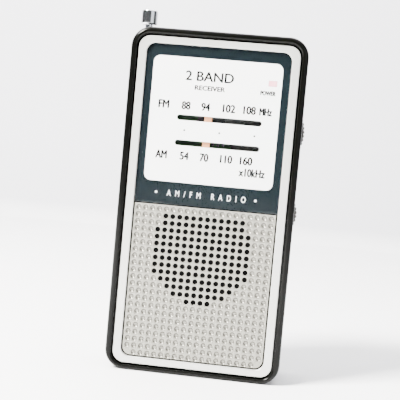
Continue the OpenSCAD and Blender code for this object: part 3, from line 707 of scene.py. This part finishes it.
class RADIO_OT_case_screws(bpy.types.Operator):
    """Cross-head screws that hold the two halves of the case together"""
    bl_idname = "radio.case_screws"
    bl_label = "Case screws"

    def execute(self, context):
        lo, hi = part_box("case_screws")
        top, head, shank, point = hi.y, 2.0 * MM, 0.8 * MM, 0.5 * MM
        profile = [(0, lo.y), (point, lo.y), (shank, lo.y + 1.2 * MM), (shank, top - MM), (head, top - MM),
                   (head, top - 0.5 * MM), (0.85 * head, top - 0.15 * MM), (0.5 * head, top), (0, top)]
        long, narrow, deep = 1.1 * MM, 0.28 * MM, 0.6 * MM
        parts = []
        for x, z in solid_centres("case_screws"):
            screw = lathe(profile, (x, 0, z), "Y", 24)
            arms = [box_bm(x - w, x + w, top - deep, top + MM, z - h, z + h, 0.05 * MM)
                    for w, h in ((long, narrow), (narrow, long))]
            parts.append(cut(screw, arms))
        mesh_piece("cross_head_screws", join(*parts), "case", "case_screws",
                   plated_steel("steel_blackened_screws", "#5c5e60", 0.38))
        return {"FINISHED"}


# ---- Front dress

def dot(x, z, radius, y, steps):
    """A printed dot, whose back lies at depth y."""
    return plate([circle_outline(x, z, radius, steps)], y - FILM, y)


def heavy_lettering(text, x, z, width, height, y, spread):
    """Letters made heavier: five films of them, spread crosswise and stepped a little in depth."""
    step = 0.002 * MM
    moves = ((0, 0), (1, 0), (-1, 0), (0, 0.6), (0, -0.6))
    return join(*(lettering(text, x + across * spread, z + up * spread, width, height, y - k * step)
                  for k, (across, up) in enumerate(moves)))


def lettering(text, x, z, width, height, y, spacing=1.0):
    """Letters as a bmesh film, fitted to a width and a height about (x, z)."""
    curve = bpy.data.curves.new("letters", "FONT")
    curve.body = text
    curve.size = 1.0
    curve.space_character = spacing
    curve.extrude = 0.01
    curve.resolution_u = 4
    bm = bmesh_from(curve)
    bmesh.ops.remove_doubles(bm, verts=bm.verts, dist=1e-5)
    xs = [v.co.x for v in bm.verts]
    ys = [v.co.y for v in bm.verts]
    centre = Vector(((min(xs) + max(xs)) / 2, (min(ys) + max(ys)) / 2, 0))
    stretch = Matrix.Diagonal((width / (max(xs) - min(xs)), height / (max(ys) - min(ys)), MM, 1))
    turn = Matrix.Rotation(math.radians(90), 4, "X")
    matrix = Matrix.Translation((x, y, z)) @ turn @ stretch @ Matrix.Translation(-centre)
    bmesh.ops.transform(bm, verts=bm.verts, matrix=matrix)
    bmesh.ops.recalc_face_normals(bm, faces=bm.faces)
    return bm


class RADIO_OT_bezel(bpy.types.Operator):
    """Silver frame round the dial and the grille"""
    bl_idname = "radio.bezel"
    bl_label = "Bezel"

    def execute(self, context):
        s = settings().front
        lo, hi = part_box("bezel")
        lens_lo, lens_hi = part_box("dial_lens")
        grille_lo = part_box("grille_plate")[0]
        gap, outer_corner, inner_corner = 0.2 * MM, 4.2 * MM, 3.2 * MM
        outer = rounded_outline(lo.x, hi.x, lo.z, hi.z, outer_corner, steps=14)
        inner = rounded_outline(lens_lo.x - gap, lens_hi.x + gap, grille_lo.z - 2 * gap, lens_hi.z + gap,
                                inner_corner, steps=14)
        mesh_piece("bezel_frame", plate([outer, inner], lo.y, hi.y, s.bezel_edge), "case", "bezel",
                   painted_silver("abs_silver_painted", s.bezel_colour), smooth=50)
        return {"FINISHED"}


class RADIO_OT_dial(bpy.types.Operator):
    """Printed dial: teal border, white field with a hole for the lamp, scales and clear lens"""
    bl_idname = "radio.dial"
    bl_label = "Dial"

    def execute(self, context):
        s = settings().front
        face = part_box("dial_sheet")[0].y
        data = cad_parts["dial_sheet"].data
        data.materials.clear()
        data.materials.append(screen_print("ink_teal_printed", s.teal, spread=0.06))
        across, upper, lower, wide, tall = 2.1 * MM, 92 * MM, 83 * MM, 30.2 * MM, 1.9 * MM
        slots = [slot_outline(across, z, wide, tall) for z in (upper, lower)]
        lamp_lo, lamp_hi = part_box("power_lamp")
        lamp_hole = rounded_outline(lamp_lo.x, lamp_hi.x, lamp_lo.z, lamp_hi.z, 0)
        half, bottom, top = 23 * MM, 68.8 * MM, 113.4 * MM
        field = rounded_outline(-half, half, bottom, top, s.field_corner)
        mesh_piece("dial_field", plate([field, *slots, lamp_hole], face - FILM, face), "case", None,
                   screen_print("ink_white_printed", s.field, spread=0.012), smooth=0)
        self.print_scales(s, face - FILM)
        lens_lo, lens_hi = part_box("dial_lens")
        corner, air = 3.0 * MM, 0.1 * MM
        lens = rounded_outline(lens_lo.x, lens_hi.x, lens_lo.z, lens_hi.z, 0, corner)
        mesh_piece("dial_window", plate([lens], lens_lo.y, face - air, s.lens_edge), "case", "dial_lens",
                   clear_acrylic("acrylic_clear_cast"), smooth=50)
        return {"FINISHED"}

    def print_scales(self, s, y):
        """Numbers, band names and dots of the two scales, and the line of lettering under the field.

        Each word has its middle (x, z), its width and its height, in millimetres.
        """
        tall, upper, lower = 2.75, 96.3, 78.4
        words = (("FM", -18.1, upper, 3.6, tall), ("88", -10.1, upper, 2.9, tall),
                 ("94", -3.1, upper, 2.9, tall), ("102", 5.2, upper + 0.1, 4.2, tall),
                 ("108", 12.5, upper + 0.1, 4.2, tall), ("MHz", 18.2, upper, 4.2, 2.5),
                 ("AM", -17.5, lower, 3.9, tall), ("54", -9.2, lower, 3.0, tall),
                 ("70", -2.1, lower, 2.9, tall), ("110", 5.8, lower + 0.1, 4.1, tall),
                 ("160", 12.9, lower + 0.1, 4.2, tall), ("x10kHz", 15.3, 74.4, 9.0, tall))
        title = (("2 BAND", -2.6, 107.0, 17.0, 3.3),)
        small = (("RECEIVER", -2.2, 102.9, 10.6, 1.6), ("POWER", 18.4, 102.9, 5.2, 1.45))
        marks = [heavy_lettering(text, x * MM, z * MM, wide * MM, high * MM, y, spread * MM)
                 for group, spread in ((words, 0.16), (title, 0.13), (small, 0.12))
                 for text, x, z, wide, high in group]
        marks += [dot(x * MM, 87.5 * MM, 0.33 * MM, y, 16) for x in (-10, 2.5, 15)]
        mesh_piece("scale_print", join(*marks), "case", None,
                   screen_print("ink_grey_printed", s.ink, spread=0.05), smooth=0)
        sheet, level, radius = y + FILM, 64.8 * MM, 0.42 * MM
        line = [lettering("A M / F M   R A D I O", -0.1 * MM, level, 28.2 * MM, 2.15 * MM, sheet, 1.4)]
        line += [dot(x * MM, level, radius, sheet, 20) for x in (-18.1, 17.5)]
        mesh_piece("line_print", join(*line), "case", None,
                   screen_print("ink_pale_printed", srgb("#eef3f4")[:3], spread=0.03), smooth=0)


class RADIO_OT_grille(bpy.types.Operator):
    """Pressed aluminium grille, with a lattice of punch marks and a round field of holes"""
    bl_idname = "radio.grille"
    bl_label = "Grille"

    def execute(self, context):
        s = settings().grille
        lo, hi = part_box("grille_plate")
        inset = Vector((0.15 * MM, 0, 0.15 * MM))
        lo, hi = lo + inset, hi - inset
        level = middle("speaker_basket").z
        half = s.pitch / 2
        top_row = round((hi.z - level) / s.pitch - 0.5)
        top_holes, field_rise = 5, 0.6 * MM
        stamps = {kind: self.stamp(s, kind, lo.y) for kind in ("dimple", "hole", "flat")}
        bm = bmesh.new()
        for row in range(s.rows):
            up = top_row - row
            for column in range(s.columns):
                x = (column - (s.columns - 1) / 2) * s.pitch
                z = up * s.pitch
                holed = math.hypot(x, z - field_rise) < s.field_radius and up <= top_holes
                corner = row == s.rows - 1 and column in (0, s.columns - 1)
                kind = "flat" if corner else "hole" if holed else "dimple"
                start = len(bm.verts)
                bm.from_mesh(stamps[kind])
                bm.verts.ensure_lookup_table()
                bmesh.ops.translate(bm, verts=bm.verts[start:], vec=(x, 0, level + z))
        for mesh in stamps.values():
            bpy.data.meshes.remove(mesh)
        bmesh.ops.remove_doubles(bm, verts=bm.verts, dist=1e-6)
        reach = s.columns * half
        low = level + (top_row - s.rows + 1) * s.pitch - half
        high = level + top_row * s.pitch + half
        radius, sheet, fold, step = 2.8 * MM, 0.08 * MM, 0.4 * MM, 0.2 * MM
        for vert in bm.verts:
            co = vert.co
            if abs(abs(co.x) - reach) < 1e-6:
                co.x = math.copysign(hi.x, co.x)
            if abs(co.z - low) < 1e-6:
                co.z = lo.z
            if abs(co.z - high) < 1e-6:
                co.z = hi.z
            corner = Vector((abs(co.x) - (hi.x - radius), 0, co.z - (lo.z + radius)))
            if corner.x > 0 and corner.z < 0 and corner.length > radius:
                corner = corner.normalized() * radius
                co.x, co.z = math.copysign(hi.x - radius + corner.x, co.x), lo.z + radius + corner.z
        out = bmesh.ops.extrude_face_region(bm, geom=bm.faces[:], use_keep_orig=True)
        bmesh.ops.translate(bm, verts=[g for g in out["geom"] if isinstance(g, bmesh.types.BMVert)],
                            vec=(0, sheet, 0))
        bmesh.ops.recalc_face_normals(bm, faces=bm.faces)
        outer = rounded_outline(lo.x, hi.x, lo.z, hi.z, radius, 0)
        inner = rounded_outline(lo.x + fold, hi.x - fold, lo.z + fold, hi.z - fold, radius - fold, 0)
        skirt = plate([outer, inner], lo.y + step, hi.y)
        # Painted shade: a black cloth disc behind the field of holes stands for the dark inside the speaker.
        mesh_piece("speaker_shade_cloth", dot(0, level, s.field_radius + MM, hi.y, 64), "case", None,
                   shade_cloth("polyester_shade_cloth"), smooth=0)
        mesh_piece("punched_grille", join(bm, skirt), "case", "grille_plate",
                   pressed_aluminium("aluminium_pressed", s.colour, lo.y, s.depth), smooth=50)
        return {"FINISHED"}

    def stamp(self, s, kind, y):
        """Mesh of one square of the sheet with its punch mark, about the origin."""
        r, d = s.dimple / 2, s.depth
        hole = s.hole / 2
        profiles = {"dimple": [(r, 0), (0.94 * r, 0.12 * d), (0.55 * r, 0.86 * d), (0.38 * r, 0.97 * d),
                               (0.18 * r, d)],
                    "hole": [(1.05 * hole, 0), (1.01 * hole, 0.05 * d), (hole, 0.15 * d), (hole, 0.4 * d)],
                    "flat": [(0.7 * r, 0)]}
        count = 16
        bm = bmesh.new()
        rings = []
        for radius, depth in [(None, 0), *profiles[kind]]:
            verts = []
            for k in range(count):
                a = 2 * math.pi * k / count
                c, t = math.cos(a), math.sin(a)
                reach = s.pitch / 2 / max(abs(c), abs(t)) if radius is None else radius
                verts.append(bm.verts.new((reach * c, y + depth, reach * t)))
            rings.append([bm.edges.new(pair) for pair in zip(verts, verts[1:] + verts[:1])])
        for a, b in zip(rings, rings[1:]):
            bmesh.ops.bridge_loops(bm, edges=a + b)
        if kind != "hole":
            bmesh.ops.contextual_create(bm, geom=rings[-1])
        return mesh_from("stamp", bm)


# ---- Moving pieces outside the case

class RADIO_OT_pointer(bpy.types.Operator):
    """Salmon pointer bar that slides behind the two slots of the dial"""
    bl_idname = "radio.pointer"
    bl_label = "Pointer"

    def execute(self, context):
        lo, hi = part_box("dial_pointer")
        salmon = screen_print("styrene_salmon_moulded", settings().front.pointer, rough=0.35, spread=0.05,
                              size_mm=2.0)
        edge, thick, overlap, tall = 0.12 * MM, 0.8 * MM, 0.3 * MM, 2.5 * MM
        bar = box_bm(lo.x, hi.x, lo.y, lo.y + thick, lo.z, hi.z, edge)
        arm = box_bm(lo.x, hi.x, lo.y + thick - overlap, hi.y, hi.z - tall, hi.z, edge)
        mesh_piece("pointer_bar", join(bar, arm), "pointer", "dial_pointer", salmon)
        return {"FINISHED"}


class RADIO_OT_thumbwheels(bpy.types.Operator):
    """Finish of the tuning and volume wheels, with their knurled rims"""
    bl_idname = "radio.thumbwheels"
    bl_label = "Thumbwheels"

    def execute(self, context):
        black = moulded_plain("abs_black_wheel", "#23221e", rough=0.36, spread=0.1)
        finish(black, "tuning_wheel", "volume_wheel")
        return {"FINISHED"}


class RADIO_OT_antenna(bpy.types.Operator):
    """Turned and chromed antenna knob, its neck, and the drawn tubes"""
    bl_idname = "radio.antenna"
    bl_label = "Antenna"

    def execute(self, context):
        lo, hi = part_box("antenna_knob")
        centre = middle("antenna_knob") * Vector((1, 1, 0))
        radius, top = (hi.x - lo.x) / 2, hi.z
        under, neck = top - 5.2 * MM, 1.4 * MM
        profile = [(0, lo.z), (neck - 0.2 * MM, lo.z), (neck, lo.z + 0.2 * MM), (neck, under),
                   (radius - 0.35 * MM, under), (radius - 0.1 * MM, under + 0.12 * MM),
                   (radius, under + 0.4 * MM), (radius, top - 0.65 * MM),
                   (radius - 0.08 * MM, top - 0.4 * MM), (radius - 0.28 * MM, top - 0.16 * MM),
                   (radius - 0.6 * MM, top - 0.04 * MM), (radius - 1.2 * MM, top), (0, top)]
        chrome = chromed_brass("brass_chromed_turned")
        mesh_piece("antenna_cap", lathe(profile, centre, "Z", 72), "antenna_4", "antenna_knob",
                   chrome, smooth=50)
        finish(chrome, "antenna_section_1", "antenna_section_2", "antenna_section_3", "antenna_tip")
        finish(plated_steel("brass_nickel_base", "#c4bfa8", 0.3), "antenna_base")
        return {"FINISHED"}


class RADIO_OT_band_slider(bpy.types.Operator):
    """Band switch's slider on the back, with finger ridges"""
    bl_idname = "radio.band_slider"
    bl_label = "Band slider"

    def execute(self, context):
        lo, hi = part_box("band_slider")
        under, overlap, in_x, in_z = lo.y + 2.5 * MM, 0.5 * MM, 0.9 * MM, 0.6 * MM
        body = box_bm(lo.x, hi.x, under, hi.y, lo.z, hi.z, 0.2 * MM)
        stem = box_bm(lo.x + in_x, hi.x - in_x, lo.y, under + overlap, lo.z + in_z, hi.z - in_z, 0.1 * MM)
        first, pitch, wide, deep = 0.55 * MM, 0.7 * MM, 0.3 * MM, 0.3 * MM
        grooves = [box_bm(x, x + wide, hi.y - deep, hi.y + MM, lo.z - MM, hi.z + MM)
                   for x in (lo.x + first + pitch * k for k in range(3))]
        mesh_piece("band_slider_knob", join(cut(body, grooves), stem), "band", "band_slider",
                   moulded_plain("abs_black_slider", "#2b2a26", rough=0.3))
        return {"FINISHED"}


# ---- Works inside

def finish(mat, *nodes):
    """Gives CAD nodes a material and smooth shading that keeps their sharp edges."""
    for name in nodes:
        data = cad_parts[name].data
        data.materials.clear()
        data.materials.append(mat)
        data.shade_smooth()
        data.set_sharp_from_angle(angle=math.radians(35))


def board_laminate(name):
    """Phenolic board under green solder mask: weave shows faintly through a satin film."""
    mat, tree, shader = material(name)
    weave = waves(tree, 700)
    paint(tree, shader, weave, srgb("#2c4f2c"), srgb("#38623a"), 0.0, 1.0)
    roughen(tree, shader, noise(tree, 4.0), 0.28, 0.42)
    bump(tree, shader, weave, 0.1, 0.02)
    return mat


def wound_copper(name):
    """Enamelled copper wire, close wound: fine ribs across the former with a warm varnish."""
    mat, tree, shader = material(name, Metallic=0.7)
    ribs = waves(tree, 1000, scale=0.9, distortion=0.15)
    paint(tree, shader, ribs, srgb("#6b3417"), srgb("#c98148"), 0.0, 1.0)
    roughen(tree, shader, ribs, 0.45, 0.3)
    bump(tree, shader, ribs, 0.5, 0.15)
    return mat


def ferrite_ceramic(name):
    """Sintered ferrite: dark grey, matt and slightly speckled."""
    mat, tree, shader = material(name)
    speck = noise(tree, 0.4, detail=5, rough=0.75)
    paint(tree, shader, speck, srgb("#2d2b2a"), srgb("#55514e"), 0.35)
    roughen(tree, shader, speck, 0.55, 0.75)
    bump(tree, shader, speck, 0.2, 0.05)
    return mat


def paper_cone(name):
    """Pressed paper: felted grey-black fibre, quite matt."""
    mat, tree, shader = material(name)
    fibre = noise(tree, 0.5, detail=6, stretch=(1, 1, 0.6), rough=0.7)
    paint(tree, shader, fibre, srgb("#26241f"), srgb("#413e37"))
    roughen(tree, shader, fibre, 0.8, 0.95)
    bump(tree, shader, fibre, 0.35, 0.1)
    return mat


def shrink_wrap(name):
    """Printed foil shrunk round a dry cell: a coloured band over a plain body, along its length."""
    mat, tree, shader = material(name, Metallic=0.25)
    coords = add(tree, "ShaderNodeTexCoord").outputs["Object"]
    height = add(tree, "ShaderNodeSeparateXYZ", Vector=coords).outputs["Z"]
    place = add(tree, "ShaderNodeMapRange", Value=height, From_Min=0.0, From_Max=0.06).outputs["Result"]
    stops = ((0.0, srgb("#3a5d8c")), (0.6, srgb("#3a5d8c")), (0.605, srgb("#d8d4c6")))
    tree.links.new(ramp(tree, place, stops, "CONSTANT"), shader.inputs["Base Color"])
    roughen(tree, shader, noise(tree, 2.0, detail=3), 0.2, 0.34)
    return mat


def shade_cloth(name):
    """Black cloth behind the grille's holes, coloured as painted shade for the dark inside the speaker: a
    fine plain weave, quite matt.
    """
    mat, tree, shader = material(name, Specular_IOR_Level=0.1)
    weave = waves(tree, 3000, "DIAGONAL", distortion=2.0)
    paint(tree, shader, weave, srgb("#050505"), srgb("#101010"), 0.0, 1.0)
    roughen(tree, shader, weave, 0.9, 1.0)
    return mat


def open_foam(name):
    """Open-cell foam ring: dark, with fine pores."""
    mat, tree, shader = material(name)
    vector = object_coords(tree, (2500, 2500, 2500))
    pores = add(tree, "ShaderNodeTexVoronoi", Vector=vector, Scale=1.0).outputs["Distance"]
    paint(tree, shader, pores, srgb("#1b1a18"), srgb("#3b3935"), 0.1, 0.8)
    roughen(tree, shader, pores, 0.85, 1.0)
    bump(tree, shader, pores, 0.6, 0.2)
    return mat


class RADIO_OT_speaker(bpy.types.Operator):
    """Finish of the loudspeaker: basket, magnet, paper cone, foam ring and clips"""
    bl_idname = "radio.speaker"
    bl_label = "Speaker"

    def execute(self, context):
        # Painted shade: the basket is coloured near black, darker than zinc plate, so that what shows of it
        # through the grille's holes reads as shade.
        finish(plated_steel("steel_black_shade_basket", "#242424", 0.5), "speaker_basket")
        finish(plated_steel("steel_zinc_clips"), "speaker_clips")
        finish(ferrite_ceramic("ferrite_sintered_magnet"), "speaker_magnet")
        finish(paper_cone("paper_pressed_cone"), "speaker_cone")
        finish(open_foam("foam_open_cell"), "speaker_gasket")
        return {"FINISHED"}


class RADIO_OT_board(bpy.types.Operator):
    """Finish of the circuit board and what is soldered to it"""
    bl_idname = "radio.board"
    bl_label = "Board"

    def execute(self, context):
        finish(board_laminate("phenolic_masked_board"), "circuit_board")
        finish(moulded_plain("epoxy_black_chip", "#1e1e1f", rough=0.5), "audio_chip")
        finish(plated_steel("steel_tinned_cans", "#c3c5c6", 0.28), "if_cans")
        finish(moulded_plain("pvc_blue_sleeve", "#26436b", rough=0.3), "capacitors")
        finish(moulded_plain("resin_tan_dipped", "#c9a878", rough=0.4), "resistors")
        finish(moulded_plain("polyester_cream_moulded", "#d8d2bd", rough=0.42),
               "tuning_capacitor", "band_switch")
        finish(moulded_plain("phenolic_brown_moulded", "#5b3c26", rough=0.5), "volume_control")
        finish(moulded_plain("nylon_black_jack", "#1f1f1e", rough=0.4), "earphone_jack")
        finish(ferrite_ceramic("ferrite_sintered_rod"), "ferrite_rod")
        finish(wound_copper("copper_enamelled_wound"), "ferrite_coil")
        finish(moulded_plain("nylon_cream_holder", "#e3dcc6", rough=0.5), "ferrite_holders")
        return {"FINISHED"}


class RADIO_OT_drive(bpy.types.Operator):
    """Finish of the dial drive: idler, carriage, rods, shafts and small screws"""
    bl_idname = "radio.drive"
    bl_label = "Dial drive"

    def execute(self, context):
        finish(moulded_plain("acetal_black_gear", "#3a3c3b", rough=0.5), "idler_gear", "pointer_carriage")
        finish(plated_steel("steel_blackened_pin", "#3c3e3e", 0.45), "idler_pin")
        finish(plated_steel("steel_zinc_small"),
               "guide_rods", "board_screws", "speaker_screws", "tuning_screw", "volume_screw", "antenna_clip")
        finish(plated_steel("brass_turned_shaft", "#c5a35a", 0.3), "tuning_shaft", "volume_shaft")
        return {"FINISHED"}


class RADIO_OT_batteries(bpy.types.Operator):
    """Finish of the two dry cells and their contacts"""
    bl_idname = "radio.batteries"
    bl_label = "Batteries"

    def execute(self, context):
        finish(shrink_wrap("foil_printed_wrap"), "cell_left", "cell_right")
        finish(plated_steel("steel_nickel_contacts", "#c9c8c4", 0.22), "contact_plates", "contact_springs")
        return {"FINISHED"}


class RADIO_OT_lamp(bpy.types.Operator):
    """Pale pink power lamp behind its window"""
    bl_idname = "radio.lamp"
    bl_label = "Power lamp"

    def execute(self, context):
        lo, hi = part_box("power_lamp")
        mat, tree, shader = material("styrene_pink_lens", Subsurface_Weight=0.2,
                                     Subsurface_Radius=(MM, 0.6 * MM, 0.6 * MM))
        cloud = noise(tree, 1.0, detail=2)
        paint(tree, shader, cloud, srgb("#f0a3b0"), srgb("#f7b2bc"))
        roughen(tree, shader, cloud, 0.2, 0.3)
        lens = box_bm(lo.x, hi.x, lo.y + 0.05 * MM, hi.y, lo.z, hi.z, 0.2 * MM)
        mesh_piece("lamp_window", lens, "case", "power_lamp", mat)
        return {"FINISHED"}


# ---- Stage

def softbox(name, place, aim, size, power, tint="#ffffff"):
    """A rectangular area light at a place, turned to aim at a point."""
    data = bpy.data.lights.new(name, "AREA")
    data.shape = "RECTANGLE"
    data.size, data.size_y = size
    data.energy = power
    data.color = srgb(tint)[:3]
    light = new_object(name, data)
    light.location = place
    light.rotation_euler = (Vector(aim) - Vector(place)).to_track_quat("-Z", "Y").to_euler()


class RADIO_OT_stage(bpy.types.Operator):
    """Pale floor and backdrop, soft lights and the camera"""
    bl_idname = "radio.stage"
    bl_label = "Stage"

    def execute(self, context):
        self.backdrop()
        self.lights()
        self.camera()
        return {"FINISHED"}

    def backdrop(self):
        """One sheet: a floor that turns up into a wall behind the radio, and shows its front only."""
        wide, front, back, tall, bend = 3.0, -3.0, 0.60, 2.0, 0.02
        section = [(front, 0.0), (back - bend, 0.0)]
        section += [(back - bend + bend * math.sin(math.radians(a)), bend - bend * math.cos(math.radians(a)))
                    for a in range(10, 91, 10)]
        section.append((back, tall))
        bm = bmesh.new()
        rows = [[bm.verts.new((x, y, z)) for y, z in section] for x in (-wide, wide)]
        for k in range(len(section) - 1):
            bm.faces.new((rows[0][k], rows[1][k], rows[1][k + 1], rows[0][k + 1]))
        sheet = new_object("backdrop", mesh_from("backdrop", bm))
        sheet.data.shade_smooth()
        mat, tree, shader = material("paper_pale_backdrop", Roughness=0.8)
        tree.links.new(front_only(tree), shader.inputs["Alpha"])
        height = add(tree, "ShaderNodeSeparateXYZ", Vector=object_coords(tree)).outputs["Z"]
        up = add(tree, "ShaderNodeMapRange", Value=height, From_Min=0.0, From_Max=bend).outputs["Result"]
        mottle = scaled(tree, noise(tree, 400.0, detail=2), 0.985, 1.015)
        tone = add(tree, "ShaderNodeMath", {"operation": "MULTIPLY"}, i0=up, i1=mottle).outputs["Value"]
        paint(tree, shader, tone, srgb("#f1f1f2"), srgb("#d3d3d8"), 0.0, 1.0)
        sheet.data.materials.append(mat)

    def lights(self):
        """A key from the upper left, a weak broad fill, an overhead panel and a dim even surround."""
        radio = (0, 0, 0.06)
        softbox("key", (-0.5, -0.42, 0.72), radio, (0.24, 0.24), 80.0, "#fffdf8")
        softbox("fill", (0.75, -0.7, 0.35), radio, (0.8, 0.8), 4.0, "#f6f9ff")
        softbox("overhead", (0.0, 0.15, 1.1), (0, 0.15, 0), (1.4, 1.0), 34.0)
        world = bpy.context.scene.world or bpy.data.worlds.new("studio")
        bpy.context.scene.world = world
        world.use_nodes = True
        surround = world.node_tree.nodes.get("Background") or add(world.node_tree, "ShaderNodeBackground")
        surround.inputs["Color"].default_value = srgb("#f3f5f8")
        surround.inputs["Strength"].default_value = 0.16

    def camera(self):
        """A long lens a little to the right of the radio, held with a slight tilt."""
        data = bpy.data.cameras.new("camera")
        data.lens = 76.5
        data.sensor_width = 36.0
        eye = new_object("camera", data)
        place = Vector((0.0245, -0.312, 0.0765))
        target = Vector((-0.0019, -0.0134, 0.0634))
        roll = math.radians(5.2)
        aim = (target - place).to_track_quat("-Z", "Y").to_matrix()
        eye.matrix_world = Matrix.Translation(place) @ (aim @ Matrix.Rotation(roll, 3, "Z")).to_4x4()
        bpy.context.scene.camera = eye


# ---- Add-on

PIECES = (RADIO_OT_front_case, RADIO_OT_rear_case, RADIO_OT_battery_door, RADIO_OT_case_screws,
          RADIO_OT_bezel, RADIO_OT_dial, RADIO_OT_lamp, RADIO_OT_grille, RADIO_OT_pointer,
          RADIO_OT_thumbwheels, RADIO_OT_antenna, RADIO_OT_band_slider, RADIO_OT_speaker, RADIO_OT_board,
          RADIO_OT_drive, RADIO_OT_batteries, RADIO_OT_stage)


class RADIO_PT_panel(bpy.types.Panel):
    """Builds the radio piece by piece"""
    bl_idname = "RADIO_PT_panel"
    bl_label = "Pocket Radio"
    bl_space_type = "VIEW_3D"
    bl_region_type = "UI"
    bl_category = "Radio"

    def draw(self, context):
        for group in (settings().case, settings().front, settings().grille):
            box = self.layout.box()
            for field in group.bl_rna.properties:
                if field.identifier not in ("rna_type", "name"):
                    box.prop(group, field.identifier)
        for piece in PIECES:
            self.layout.operator(piece.bl_idname)


CLASSES = (CaseSettings, FrontSettings, GrilleSettings, RadioSettings, *PIECES, RADIO_PT_panel)


def register():
    """Registers the classes and the scene's settings."""
    for cls in CLASSES:
        bpy.utils.register_class(cls)
    bpy.types.Scene.radio = PointerProperty(type=RadioSettings, name="Radio",
                                            description="Settings of the radio")


def unregister():
    """Takes the settings and the classes away again."""
    del bpy.types.Scene.radio
    for cls in reversed(CLASSES):
        bpy.utils.unregister_class(cls)


def main():
    """Builds every piece and the stage."""
    register()
    for piece in PIECES:
        group, name = piece.bl_idname.split(".")
        getattr(getattr(bpy.ops, group), name)()


if __name__ == "__main__":
    main()
